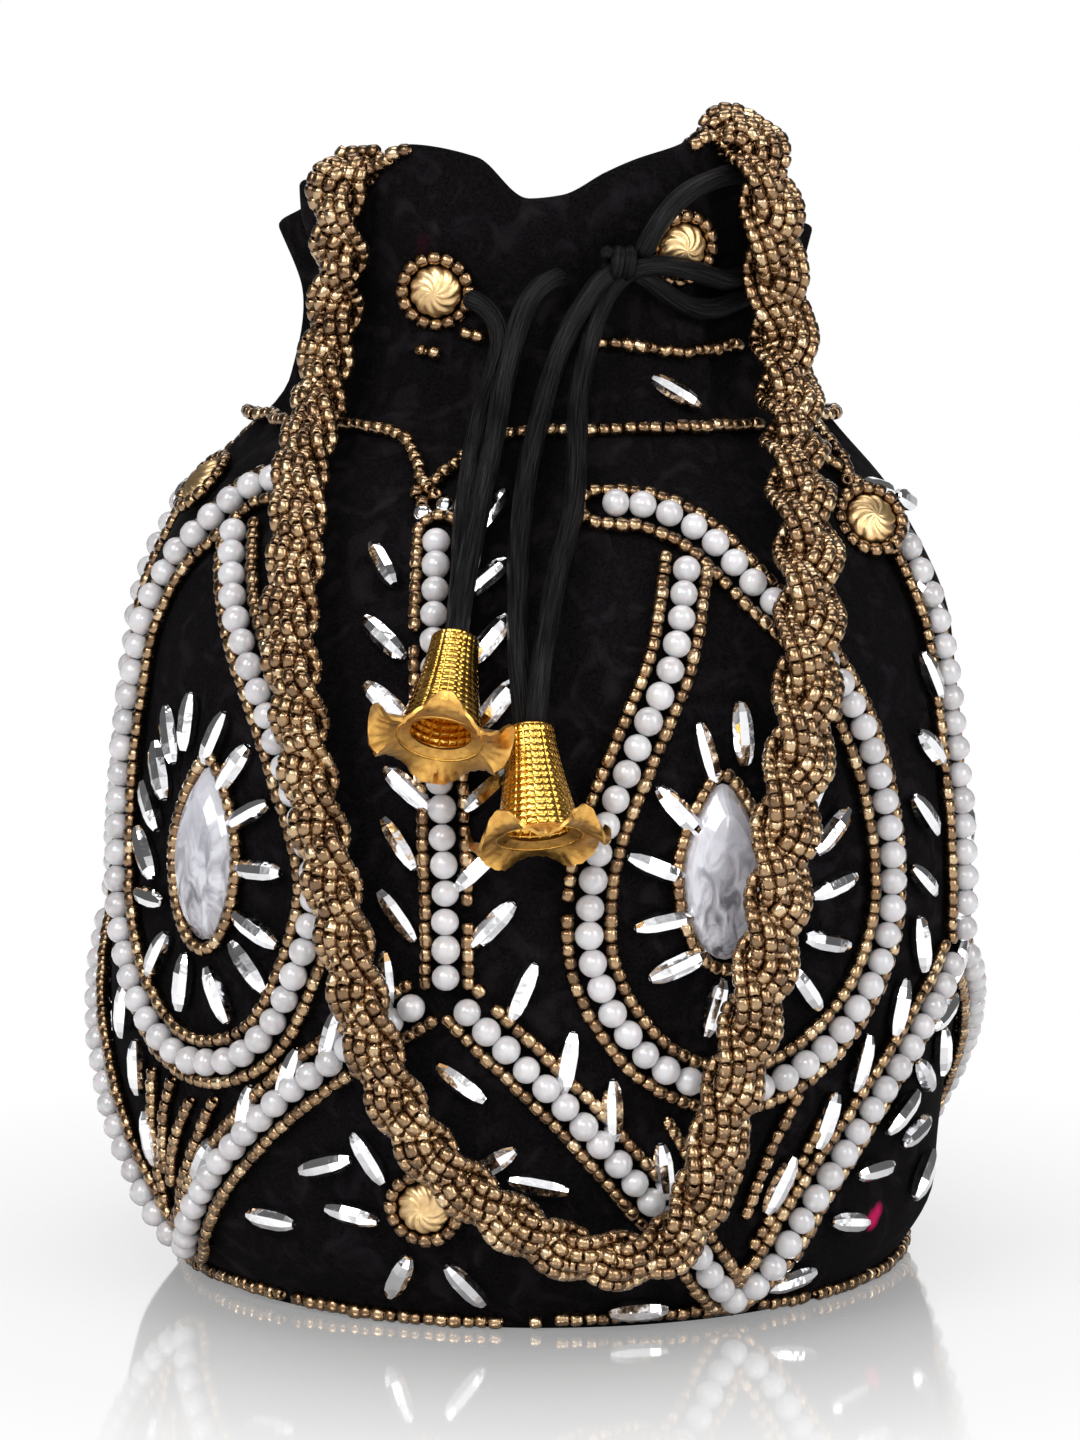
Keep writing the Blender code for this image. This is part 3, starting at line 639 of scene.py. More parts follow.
def beadsOn(line, pitch, jitter=0.10 * mm, swing=0.10, spread=0.06, skip=0.0):
    places = []
    for place, along, out in resample(line, pitch):
        if random.random() < skip:
            continue
        nudge = Vector([random.uniform(-jitter, jitter) for _ in range(3)])
        turn = Vector([random.uniform(-swing, swing) for _ in range(3)])
        size = 1 + random.uniform(-spread, spread)
        long = 1 + random.uniform(-spread, 2 * spread)
        places.append(frameAlong(place + nudge, along + turn, out, (size, size, size * long)))
    return places


beads = {
    "pearl": 5.2 * mm,
    "pearlPitch": 5.0 * mm,
    "seed": 2.7 * mm,
    "seedLength": 2.3 * mm,
    "seedHole": 0.8 * mm,
    "seedPitch": 2.5 * mm,
    "rice": (11.3 * mm, 4.0 * mm),  # length, diameter
}


def seedShape(diameter, length, hole, steps=8):
    # A short tube with rounded lips
    outer, inner, half = diameter / 2, hole / 2, length / 2
    lip = 0.3 * (outer - inner)
    profile = (
        (inner, 0.0), (inner + lip, half), (outer - lip, half), (outer, 0.52 * half), (outer, -0.52 * half),
        (outer - lip, -half), (inner + lip, -half), (inner, 0.0),
    )
    return takeShape(latheShape("seedShape", profile, steps))


def pearlShape(diameter):
    deselectAll()
    bpy.ops.mesh.primitive_uv_sphere_add(segments=14, ring_count=10, radius=diameter / 2)
    made = bpy.context.active_object
    bpy.ops.object.mode_set(mode="EDIT")
    bpy.ops.mesh.select_all(action="SELECT")
    bpy.ops.transform.resize(value=(1, 1, 0.97))
    bpy.ops.object.mode_set(mode="OBJECT")
    return takeShape(made)


def riceShape(length, diameter):
    # A long bead with eight flat sides, blunt ends and a thread hole
    half, radius = length / 2, diameter / 2
    steps = (-1.0, -0.98, -0.70, -0.34, 0.34, 0.70, 0.98, 1.0)
    widths = (0.20, 0.46, 0.82, 1.0, 1.0, 0.82, 0.46, 0.20)
    profile = [(radius * w, half * s) for s, w in zip(steps, widths)]
    profile.append((radius * 0.14, 0.8 * half))
    profile.insert(0, (radius * 0.14, -0.8 * half))
    return takeShape(latheShape("riceShape", profile, 8))


seed = seedShape(beads["seed"], beads["seedLength"], beads["seedHole"])
pearl = pearlShape(beads["pearl"])
rice = riceShape(*beads["rice"])
print("bead shapes are made")


# Drawstrings, the bow and the bells

cordStyle = {
    "diameter": 4.0 * mm, "sides": 24, "step": 0.9 * mm, "lobes": 7, "lobeDepth": 0.05, "twist": 20 * mm,
    "easing": 24, "uvPerMetre": 60,
}
bellPlaces = {
    "bell_left": ((-10.3, 0.1294, 0.0098), (-10.6, 0.1099, 0.0215)),
    "bell_right": ((-1.5, 0.1142, 0.0094), (-0.2, 0.0936, 0.0170)),
}
cordRoutes = {
    "cord_left_outer": (
        (-18.1, 0.1879, 0.0030), (-13.3, 0.1871, 0.0034), (-9.7, 0.1844, 0.0040), (-8.6, 0.1806, 0.0046),
        (-9.3, 0.1762, 0.0054), (-10.8, 0.1712, 0.0063), (-11.9, 0.1662, 0.0072), (-11.3, 0.1547, 0.0077),
        (-10.7, 0.1431, 0.0074), (-10.6, 0.1349, 0.0072), (-10.5, 0.1285, 0.0078),
    ),
    "cord_left_inner": (
        (4.7, 0.1918, 0.0030), (0.4, 0.1913, 0.0066), (-2.6, 0.1886, 0.0084), (-4.4, 0.1842, 0.0090),
        (-5.9, 0.1787, 0.0094), (-7.4, 0.1714, 0.0100), (-8.1, 0.1610, 0.0108), (-8.6, 0.1511, 0.0113),
        (-9.3, 0.1411, 0.0116), (-9.7, 0.1350, 0.0118), (-9.9, 0.1290, 0.0118),
    ),
    "cord_right_outer": (
        (55, 0.1889, 0.0028), (50.7, 0.1869, 0.0028), (45.5, 0.1855, 0.0029), (38.5, 0.1852, 0.0030),
        (32.3, 0.1861, 0.0033), (27.4, 0.1881, 0.0038), (23.3, 0.1910, 0.0046), (19.4, 0.1934, 0.0054),
        (15.7, 0.1939, 0.0060), (12.3, 0.1921, 0.0062), (9.7, 0.1886, 0.0060), (7.0, 0.1850, 0.0060),
        (3.1, 0.1782, 0.0058), (0.1, 0.1690, 0.0072), (-2.2, 0.1590, 0.0070), (-3.2, 0.1476, 0.0050),
        (-3.3, 0.1360, 0.0056), (-2.8, 0.1243, 0.0070), (-2.2, 0.1132, 0.0078),
    ),
    "cord_right_inner": (
        (19.7, 0.1953, 0.0064), (21, 0.1987, 0.0066), (22.9, 0.2023, 0.0064), (26.1, 0.2060, 0.0060),
        (33.3, 0.2090, 0.0046), (45, 0.2106, 0.0034), (54.5, 0.2080, 0.0028), (58.5, 0.2008, 0.0028),
        (56, 0.1932, 0.0028), (47, 0.1904, 0.0030), (35.5, 0.1920, 0.0050), (26.6, 0.1938, 0.0068),
        (22.5, 0.1942, 0.0070), (19.1, 0.1938, 0.0062), (15.7, 0.1920, 0.0056), (13.1, 0.1877, 0.0052),
        (11, 0.1829, 0.0048), (9, 0.1780, 0.0050), (6.7, 0.1696, 0.0070), (5.7, 0.1601, 0.0068),
        (4.6, 0.1514, 0.0050), (1.9, 0.1405, 0.0058), (0.3, 0.1297, 0.0086), (-0.5, 0.1212, 0.0102),
        (-0.9, 0.1140, 0.0106),
    ),
}
cordNodes = {
    "cord_left_outer": ("drawstring_left_outer",),
    "cord_left_inner": ("drawstring_left_inner",),
    "cord_right_outer": ("drawstring_right_outer", "bow_return"),
    "cord_right_inner": ("drawstring_right_inner", "bow_loop"),
}


def tubePiece(name, line, diameter, style, nodes):
    # A cord with fine lobes that turn slowly along it; its UV runs round it and along it
    even = resample(line, style["step"])
    sides = style["sides"]
    corners, uvs, faces = [], [], []
    count = len(even)
    side = None
    walked = 0.0
    for k, (place, along, out) in enumerate(even):
        if k:
            walked += (place - even[k - 1][0]).length
        side = (out if side is None else side)
        side = (side - along * side.dot(along)).normalized()
        other = along.cross(side)
        closing = min(1.0, (k + 0.4) / 1.6, (count - 0.6 - k) / 1.6)
        for i in range(sides + 1):
            turn = 2 * math.pi * i / sides
            lobe = math.cos(style["lobes"] * turn + 2 * math.pi * walked / style["twist"])
            radius = 0.5 * diameter * (1 - style["lobeDepth"] + style["lobeDepth"] * lobe) * closing ** 0.5
            corners.append(place + side * math.cos(turn) * radius + other * math.sin(turn) * radius)
            uvs.append((i / sides, walked * style["uvPerMetre"]))
    row = sides + 1
    for k in range(count - 1):
        for i in range(sides):
            a = k * row + i
            faces.append((a, a + 1, a + row + 1, a + row))
    faces.append(tuple(reversed(range(sides))))
    faces.append(tuple((count - 1) * row + i for i in range(sides)))
    mesh = bpy.data.meshes.new(name)
    mesh.from_pydata([tuple(c) for c in corners], [], faces)
    layer = mesh.uv_layers.new(name="UVMap")
    for loop in mesh.loops:
        layer.data[loop.index].uv = uvs[loop.vertex_index]
    made = addMesh(name, mesh)
    makeActive(made)
    mendMesh()
    smoothEdges(60)
    return finishPiece(made, cordBlack, nodes)


def routeLine(route):
    # A smooth line through (angle, height, standoff) places
    return [(onWall(*place), wallNormal(place[0], place[1])) for place in smoothRoute(route)]


def easedLine(line, step, rounds):
    # A limp cord makes no sharp bend: each place moves towards the middle of its neighbours
    even = [(place, out) for place, _, out in resample(line, step)]
    places = [line[0][0]] + [place for place, _ in even] + [line[-1][0]]
    outs = [line[0][1]] + [out for _, out in even] + [line[-1][1]]
    for _ in range(rounds):
        inner = [(a + b * 2 + c) / 4 for a, b, c in zip(places, places[1:], places[2:])]
        places = [places[0]] + inner + [places[-1]]
    return list(zip(places, outs))


bellStyle = {
    "coneRows": 16, "coneSides": 24, "coneLength": 20.3 * mm, "coneWall": 0.5 * mm,
    "topRadius": 4.2 * mm, "footRadius": 7.9 * mm, "seam": 0.13 * mm, "grain": 0.15 * mm,
    "petals": 5, "petalGrid": (140, 16), "petalReach": 5.4 * mm, "petalDrop": 1.2 * mm,
    "petalCurl": 1.9 * mm, "petalNotch": 1.8 * mm, "petalThickness": 0.6 * mm,
    "veins": 8, "veinDepth": 0.13 * mm, "throat": 5.6 * mm,
}


def bellFrame(name):
    top, mouth = bellPlaces[name]
    start, end = onWall(*top), onWall(*mouth)
    down = (end - start).normalized()
    front = Vector((0, -1, 0))
    side = down.cross(front).normalized()
    place = Matrix((side, down.cross(side), down)).transposed().to_4x4()
    place.translation = start
    return place


def makeBellCone(name):
    # A waisted cone whose faces are each inset and raised into a pressed grid
    style = bellStyle
    rows = style["coneRows"]
    profile = []
    for k in range(rows + 1):
        t = k / rows
        flare = style["topRadius"] + (style["footRadius"] - style["topRadius"]) * t ** 1.45
        profile.append((flare, style["coneLength"] * t))
    profile.insert(0, (style["topRadius"] - 0.5 * mm, -0.25 * mm))
    profile.insert(0, (1.2 * mm, 0.1 * mm))
    cone = latheShape(name + "_cone", profile, style["coneSides"], 40)
    mesh = cone.data
    for face in mesh.polygons:
        face.select = 0.4 * mm < face.center.z < style["coneLength"] - 0.2 * mm
    bpy.ops.object.mode_set(mode="EDIT")
    bpy.ops.mesh.select_mode(type="FACE")
    bpy.ops.mesh.inset(thickness=style["seam"], depth=style["grain"], use_individual=True)
    bpy.ops.mesh.select_mode(type="VERT")
    bpy.ops.object.mode_set(mode="OBJECT")
    return cone


def makeBellPetals(name, phase):
    # A skirt of petals: each rises at its tip, dips at its notch and has fine veins
    style = bellStyle
    skirt = addGrid(name + "_petals", style["petalGrid"][0], style["petalGrid"][1])
    for vertex in skirt.data.vertices:
        turn = 2 * math.pi * (vertex.co.x + 0.5)
        inward = min(1.0, (vertex.co.y + 0.5) / 0.25)
        t = max(0.0, (vertex.co.y + 0.25) / 0.75)
        tip = math.cos(style["petals"] * (turn - phase))
        notch = abs(math.cos(0.5 * style["petals"] * (turn - phase))) ** 0.55
        reach = style["petalReach"] - style["petalNotch"] * (1 - notch)
        vein = math.cos(style["petals"] * style["veins"] * turn)
        vein *= style["veinDepth"] * smoothStep(t, 0.15, 0.8)
        flare = math.sin(t * math.pi / 2)
        foot = style["footRadius"] - 0.35 * mm
        radius = style["throat"] + (foot - style["throat"]) * inward + reach * flare * (0.55 + 0.45 * t)
        fall = style["petalDrop"] * (1 - (1 - t) ** 1.6) - style["petalCurl"] * tip * t ** 1.7
        fall -= style["petalCurl"] * 0.8 * max(0.0, tip) * smoothStep(t, 0.72, 1.0) + 0.9 * mm * (1 - inward)
        height = style["coneLength"] - 0.5 * mm + fall + vein
        vertex.co = (radius * math.cos(turn), radius * math.sin(turn), height)
    mendMesh()
    thicken(skirt, style["petalThickness"])
    smoothEdges(50)
    return skirt


def makeBell(name, phase):
    cone = makeBellCone(name)
    skirt = makeBellPetals(name, phase)
    thicken(cone, bellStyle["coneWall"], -1)
    cone.data.materials.append(gold)
    skirt.data.materials.append(petalGold)
    skirt.select_set(True)
    bpy.ops.object.join()
    cone.name = name + "_gold"
    cone.data.transform(bellFrame(name))
    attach(cone, "root")
    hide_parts(name)
    return cone


knotStyle = {
    "place": (16.8, 0.1954, 5.6 * mm), "turns": 2.6, "start": 0.6, "halfLength": 2.9 * mm,
    "radii": (2.15 * mm, 2.1 * mm), "cord": 2.7 * mm, "points": 60,
}


def makeKnot():
    # Turns of cord wrapped round the bow's middle
    place = frameOnWall(*knotStyle["place"])
    tall, deep = knotStyle["radii"]
    line = []
    for k in range(knotStyle["points"]):
        t = k / (knotStyle["points"] - 1)
        turn = 2 * math.pi * knotStyle["turns"] * t + knotStyle["start"]
        local = Vector((knotStyle["halfLength"] * (2 * t - 1), tall * math.sin(turn), deep * math.cos(turn)))
        out = place.to_3x3() @ Vector((0, math.sin(turn), math.cos(turn)))
        line.append((place @ local, out.normalized()))
    return tubePiece("bow_knot_turns", line, knotStyle["cord"], dict(cordStyle, step=0.7 * mm), ("bow_knot",))


bells = {"bell_left": makeBell("bell_left", -1.57), "bell_right": makeBell("bell_right", -1.05)}
knot = makeKnot()
for cordName, cordRoute in cordRoutes.items():
    cordLine = easedLine(routeLine(cordRoute), cordStyle["step"], cordStyle["easing"])
    cordPiece = tubePiece(cordName, cordLine, cordStyle["diameter"], cordStyle, cordNodes[cordName])
print("cords, bow and bells are made")


# Velvet body and lining

cloth = {
    "around": 480,
    "rings": 168,
    "outerShare": 0.66,  # shares of the rings: the outside, and the turn over the rim
    "rimShare": 0.035,
    "neckShare": 0.84,  # share of a side's rings that lie below the neck
    "pleat": 0.65 * mm,
    "pleatHeight": (0.179, 0.014),
    "dent": 0.45 * mm,
    "tuck": 2.6 * mm,  # how far the left of the neck is pulled in
    "tuckAngle": (-88, 32),
    "tuckHeights": ((0.156, 0.172), (0.186, 0.208)),
}


def pleats(angle, height):
    # Fine gathers that the drawstring pulls in, deepest at the channel
    middle, reach = cloth["pleatHeight"]
    near = math.exp(-((height - middle) / reach) ** 2)
    turn = math.radians(angle)
    wave = math.sin(31 * turn + 2.0 * math.sin(5 * turn))
    wave += 0.6 * math.sin(53 * turn + 1.3 * math.sin(9 * turn))
    return cloth["pleat"] * near * wave * (0.45 + 0.55 * smoothStep(abs(fromFront(angle)), 15, 70))


def tuckedIn(angle, height):
    middle, reach = cloth["tuckAngle"]
    low, high = cloth["tuckHeights"]
    tuck = math.exp(-((fromFront(angle) - middle) / reach) ** 2) * smoothStep(height, *low)
    return cloth["tuck"] * tuck * (1 - smoothStep(height, *high))


def bodySection(t, angle):
    # Height and standoff of the cloth, from the foot up the outside, over the rim and down the inside
    rise = curveValue(bag["rim"], fromFront(angle))
    top = bag["neckHeight"] + rise
    wall = bag["wall"]

    def climb(share):
        below = cloth["neckShare"]
        if share < below:
            return bag["neckHeight"] * share / below
        return bag["neckHeight"] + (share - below) / (1 - below) * rise

    if t < cloth["outerShare"]:
        return climb(t / cloth["outerShare"]), 0.0
    if t < cloth["outerShare"] + cloth["rimShare"]:
        turn = math.pi * (t - cloth["outerShare"]) / cloth["rimShare"]
        return top + 0.5 * wall * math.sin(turn), -0.5 * wall * (1 - math.cos(turn))
    left = (1 - t) / (1 - cloth["outerShare"] - cloth["rimShare"])
    return climb(left), -wall


def makeVelvet():
    made = addGrid("velvet_pouch", cloth["around"], cloth["rings"])
    for vertex in made.data.vertices:
        angle = 360 * (vertex.co.x + 0.5)
        turn = math.radians(angle)
        height, standoff = bodySection(vertex.co.y + 0.5, angle)
        dent = noise.noise(Vector((math.cos(turn), math.sin(turn), height * 12)) * 3.1)
        dent *= cloth["dent"] * smoothStep(height, 0.0, 0.006)
        standoff += pleats(angle, height) + dent - tuckedIn(angle, height)
        vertex.co = onWall(angle % 360, height, standoff)
    mendMesh()
    smoothEdges(70)
    return finishPiece(made, velvet, ("velvet_body",))


liningStyle = {
    "around": 144, "rings": 44, "baseShare": 0.25, "foot": 2.9 * mm, "top": 141.6 * mm, "inset": 3.1 * mm,
    "folds": 22, "foldDepth": 0.5 * mm, "thickness": 0.4 * mm,
}


def makeLining():
    # A soft satin bag inside, with shallow vertical folds
    style = liningStyle
    made = addGrid("satin_lining", style["around"], style["rings"])
    for vertex in made.data.vertices:
        angle = 360 * (vertex.co.x + 0.5)
        turn = math.radians(angle)
        t = vertex.co.y + 0.5
        climb = max(0.0, (t - style["baseShare"]) / (1 - style["baseShare"]))
        height = style["foot"] + (style["top"] - style["foot"]) * climb
        fold = style["foldDepth"] * math.sin(style["folds"] * turn + 3 * math.sin(3 * turn)) * climb
        spot = onWall(angle % 360, height, fold - style["inset"])
        if t < style["baseShare"]:
            inward = t / style["baseShare"]
            spot = Vector((spot.x * inward, spot.y * inward, style["foot"]))
        vertex.co = spot
    mendMesh()
    thicken(made, style["thickness"])
    smoothEdges(60)
    return finishPiece(made, liningFinish(), ("lining",))


makeVelvet()
makeLining()
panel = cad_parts["base_panel"]
panelObject = bpy.data.objects[panel] if isinstance(panel, str) else panel
panelObject.data.materials.clear()
panelObject.data.materials.append(velvet)
print("velvet body and lining are made")


# Pearl rows with a row of seed beads along each side

embroidery = {
    "stripes": {"front": -12.5, "right": 68, "back": 167, "left": -102},
    "stripe": ((-3, 0.1455), (-2, 0.135), (0, 0.100), (1.2, 0.066)),
    "chevron": ((0.06, 0.0085), (0.30, 0.024), (0.62, 0.044), (1.0, 0.0640)),
    "chevronStart": 2.7,
    "chevronFoot": {"front_left": (-3.2, 0.004)},  # how far a point is moved round and up
    "chevronEnd": 1.6,
    "medallions": {"front_left": -50, "front_right": 27, "back_left": 206, "back_right": 130},
    "right": (
        (-18, 0.150), (-10, 0.149), (-3, 0.1445), (3, 0.136), (10, 0.126), (16, 0.115), (20, 0.102),
        (22, 0.086), (21, 0.071), (16, 0.0585), (8, 0.0495), (-1, 0.0465), (-10, 0.0505), (-17, 0.060),
        (-21, 0.073), (-20.5, 0.090), (-16, 0.107), (-10.5, 0.124), (-7, 0.138), (-6.2, 0.1405),
    ),
    "left": (
        (3, 0.153), (-4, 0.1505), (-10, 0.144), (-15, 0.1375), (-18, 0.126), (-20.5, 0.106), (-20.5, 0.088),
        (-18.5, 0.072), (-12, 0.0585), (-3, 0.0495), (6, 0.0485), (14, 0.0545), (19, 0.068), (21, 0.084),
        (17, 0.101), (10, 0.120), (3, 0.134), (-1, 0.142), (-2.2, 0.1452),
    ),
    "pearlLift": 0.4 * mm,
    "seedAside": 3.9 * mm,
    "capSeeds": 5,
}


def pearlRoutes():
    routes = {}
    stripes = embroidery["stripes"]
    for side, angle in stripes.items():
        routes["stripe_" + side] = tuple((angle + shift, height) for shift, height in embroidery["stripe"])
    feet = (
        ("front_right", stripes["front"], stripes["right"]),
        ("back_right", stripes["right"], stripes["back"]),
        ("back_left", stripes["back"], stripes["left"] + 360),
        ("front_left", stripes["left"], stripes["front"]),
    )
    for side, start, end in feet:
        start, end = start + embroidery["chevronStart"], end - embroidery["chevronEnd"]
        middle, reach = 0.5 * (start + end), 0.5 * (end - start)
        shift, lift = embroidery["chevronFoot"].get(side, (0.0, 0.0))
        falling, climbing = [], []
        for share, height in embroidery["chevron"]:
            angle, height = middle + shift * (1 - share), height + lift * (1 - share)
            falling.insert(0, (angle - share * reach, height))
            climbing.append((angle + share * reach, height))
        routes["chevron_" + side] = tuple(falling + climbing)
    outlines = {"front_left": "left", "front_right": "right", "back_left": "right", "back_right": "left"}
    for side, outline in outlines.items():
        lead = embroidery["medallions"][side]
        routes["medallion_" + side] = tuple((lead + angle, height) for angle, height in embroidery[outline])
    return routes


def capSeeds(route):
    # Seeds that close the row of seeds round the start of a pearl row
    line = wallLine(route, 0.0, 0.5 * beads["seed"] + 0.2 * mm)
    (start, out), (following, _) = line[0], line[3]
    along = (start - following).normalized()
    side = along.cross(out).normalized()
    count = embroidery["capSeeds"]
    places = []
    for k in range(count):
        turn = math.pi * (k + 0.5) / count
        spot = start + (side * math.cos(turn) + along * math.sin(turn)) * embroidery["seedAside"]
        tangent = along * math.cos(turn) - side * math.sin(turn)
        places.append(frameAlong(spot, tangent, out))
    return places


def makePearlRows():
    for name, route in pearlRoutes().items():
        middle = wallLine(route, 0.0, embroidery["pearlLift"] + 0.5 * beads["pearl"])
        pearls = beadsOn(middle, beads["pearlPitch"], 0.12 * mm, 0.06, 0.03)
        copyShape("pearls_" + name, pearl, pearls, pearlWhite, ("pearl_" + name,))
        seeds = []
        for aside in (-embroidery["seedAside"], embroidery["seedAside"]):
            line = wallLine(route, aside, 0.5 * beads["seed"] + 0.3 * mm)
            seeds += beadsOn(line, beads["seedPitch"], 0.12 * mm, 0.09, 0.06, 0.005)
        if not name.startswith("chevron"):
            seeds += capSeeds(route)
        copyShape("seeds_" + name, seed, seeds, bronze)


makePearlRows()
print("pearl rows are made")


# Rice beads, sprigs and seed lines; the back repeats the front half a turn on

riceBeads = {  # (angle, height in mm, tilt clockwise from upright)
    "herringbone": (
        (-23, 140, -40), (-21, 128, -50), (-20, 117, -55), (-17, 102, -50), (-18, 92, -35), (-18, 79, -40),
        (-8, 149, 30), (-8, 138, 40), (-7, 128, 35), (-6, 117, 35), (-7, 102, 45), (-8, 88, 45), (-6, 78, 40),
    ),
    "foot": (
        (-19, 67, -5), (-2, 66, 20), (4, 53, 10), (-9, 49, -50), (10, 44, -5), (-21, 34, -30), (-5, 34, 60),
        (1, 30, -80), (-24, 23, -80), (-37, 20, 90), (-27, 32, 70), (-26, 56, 20), (-32, 48, 25),
        (-39, 40, 20),
        (-48, 29, 35), (-67, 53, 15), (-63, 43, 5), (-61, 30, -5), (-19, 12, 30), (-10, 11, -30), (14, 5, 90),
        (17, 32, -5), (34, 27, 30), (41, 38, 20), (46, 48, 10), (53, 57, 15), (52, 26, 90), (47, 17, -80),
        (38, 8, 75), (66, 53, 65), (68, 45, -20), (62, 42, -50), (57, 36, 60), (62, 31, 70), (67, 21, 45),
    ),
    "rightEdge": (
        (29, 169.5, -59), (68, 150, -70), (80, 147, -75), (67, 142, -60), (67, 130, -45), (63, 117, -35),
        (61, 104, -50),
        (58, 92, -50), (57, 80, -55), (57, 68, -15), (72, 86, 35), (70, 75, 30), (69, 62, 45),
    ),
}
rays = {  # round the drops: the left one as seen from the front, then the right one
    "left": (
        (-53, 110, 0), (-57, 107, -20), (-59, 100, -25), (-61, 93, -40), (-62, 84, -45), (-60, 76, -85),
        (-57, 66, 35), (-51, 62, 5), (-44, 61, -30), (-39, 67, -45), (-38, 74, -65), (-38, 85, 85),
        (-40, 95, 60), (-43, 103, 40), (-47, 108, 25),
    ),
    "right": (
        (26, 111, 0), (21, 108, -15), (17, 98, -40), (14, 88, -65), (15, 78, 80), (17, 70, 65), (22, 62, 15),
        (29, 62, -15), (35, 64, -40), (38, 72, -75), (39, 82, 75), (39, 92, 45), (36, 99, 30), (31, 106, 15),
    ),
}
rayTurns = {  # which rays, and how far round the bag they are turned
    "front_left": ("left", 0), "front_right": ("right", 0), "back_left": ("right", 179),
    "back_right": ("left", 174),
}
sprigs = (
    ((-59, 0.044), (-60.5, 0.032), (-61.5, 0.017)), ((-54, 0.043), (-57, 0.034), (-59, 0.024)),
    ((-50, 0.040), (-54, 0.032), (-58, 0.022)), ((-45, 0.041), (-50, 0.031), (-57, 0.018)),
    ((36, 0.044), (33, 0.036), (29, 0.021)), ((28, 0.040), (28, 0.033), (26, 0.024)),
    ((42, 0.043), (38, 0.032), (30, 0.015)), ((17, 0.042), (20, 0.035), (24, 0.026)),
)
roundBeads = ((-18.5, 0.1487), (-15.1, 0.1500))  # above the stripe
buttonPlaces = {
    "collar_left": (-25, 0.189), "collar_right": (31, 0.197), "shoulder_right": (58, 0.145),
    "shoulder_left": (-76, 0.151), "foot_front": (-14, 0.025), "collar_back_left": (205, 0.187),
    "collar_back_right": (150, 0.187), "foot_back": (167, 0.025),
}
buttonStyle = {
    "radius": 4.9 * mm, "rise": 2.3 * mm, "foot": 0.6 * mm, "rows": 9, "sides": 80, "lobes": 10,
    "groove": 0.45 * mm, "twist": 1.15, "ring": 6.3 * mm, "ringPitch": 2.45 * mm,
    "turned": {"shoulder_right": -28},  # degrees round its upright, towards the front
}


def ricePlace(angle, height, tilt):
    spot = frameOnWall(angle, height * mm, 0.5 * beads["rice"][1] - 0.1 * mm, tilt + random.uniform(-4, 4))
    spot = spot @ Matrix.Rotation(math.radians(90), 4, "X") @ Matrix.Rotation(random.uniform(0, 0.8), 4, "Z")
    return spot @ Matrix.Scale(random.uniform(0.94, 1.04), 4)


def makeRice():
    places = []
    for group in riceBeads.values():
        for angle, height, tilt in group:
            for half in (0, 180):
                places.append(ricePlace(angle + half, height, tilt))
    copyShape("silver_rice_beads", rice, places, silver, smooth=False)
    for side, (drop, turned) in rayTurns.items():
        places = [ricePlace(angle + turned, height, tilt) for angle, height, tilt in rays[drop]]
        nodes = ("stone_rays_" + side,)
        copyShape("silver_rays_" + side, rice, places, silver, nodes, smooth=False)
    places = []
    for angle, height in roundBeads:
        for half in (0, 180):
            places.append(frameOnWall(angle + half, height, 1.5 * mm) @ Matrix.Scale(0.74, 4))
    copyShape("silver_round_beads", pearl, places, silver)


def makeSprigs():
    places = []
    for sprig in sprigs:
        for half in (0, 180):
            route = tuple((angle + half, height) for angle, height in sprig)
            line = wallLine(route, 0.0, 0.5 * beads["seed"])
            places += beadsOn(line, beads["seedPitch"], 0.15 * mm, 0.15, 0.08)
    copyShape("seed_sprigs", seed, places, bronze)


seedLines = {
    "collar": 163 * mm,
    "dip": 10 * mm,  # the line dips to a point above each stripe
    "dipAside": 6.5,
    "dipWidth": 5.5,
    "clusters": ((-6.6, 0.1515), (-8.2, 0.1532), (-5.0, 0.1528), (-6.4, 0.1540)),
    "foot": (2.4 * mm, 0.6 * mm),  # height and wave
    "channel": (((9, 0.1795), (30, 0.1775), (53, 0.178)), ((190, 0.179), (212, 0.178), (233, 0.179))),
    "stitches": (((-29, 0.178), (-24, 0.177)), ((-19, 0.181), (-14, 0.180))),
}


def collarHeight(angle):
    height = seedLines["collar"]
    for lead in embroidery["stripes"].values():
        away = abs(fromFront(angle - lead + seedLines["dipAside"]))
        height -= seedLines["dip"] * math.exp(-((away / seedLines["dipWidth"]) ** 1.3))
    return height


def makeSeedLines():
    collar = [(angle, collarHeight(angle)) for angle in range(0, 361, 2)]
    lift = 0.5 * beads["seed"] + 0.2 * mm
    places = beadsOn(wallLine(collar, 0.0, lift), beads["seedPitch"], 0.2 * mm, 0.15, 0.08, 0.02)
    for lead in embroidery["stripes"].values():
        for shift, height in seedLines["clusters"]:
            spot = onWall(lead + shift, height, lift)
            along = Vector([random.uniform(-1, 1) for _ in range(3)])
            places.append(frameAlong(spot, along, wallNormal(lead + shift, height)))
    copyShape("collar_seed_line", seed, places, bronze, ("collar_bead_line",))
    level, wave = seedLines["foot"]
    foot = [(angle, level + wave * math.sin(math.radians(5 * angle))) for angle in range(0, 361, 4)]
    places = beadsOn(wallLine(foot, 0.0, 0.8 * mm), 2.5 * mm, 0.2 * mm, 0.2, 0.08, 0.10)
    for place in places:
        place.translation.z = max(place.translation.z, 0.57 * beads["seed"])
    copyShape("foot_seed_line", seed, places, bronze, ("foot_bead_line",))
    places = []
    for route in seedLines["channel"]:
        places += beadsOn(wallLine(route, 0.0, 1.4 * mm), 2.4 * mm, 0.5 * mm, 0.6, 0.10, 0.08)
    for route in seedLines["stitches"]:
        places += beadsOn(wallLine(route, 0.0, 1.4 * mm), 2.3 * mm, 0.3 * mm, 0.4, 0.12)
    copyShape("channel_seeds", seed, places, bronze)


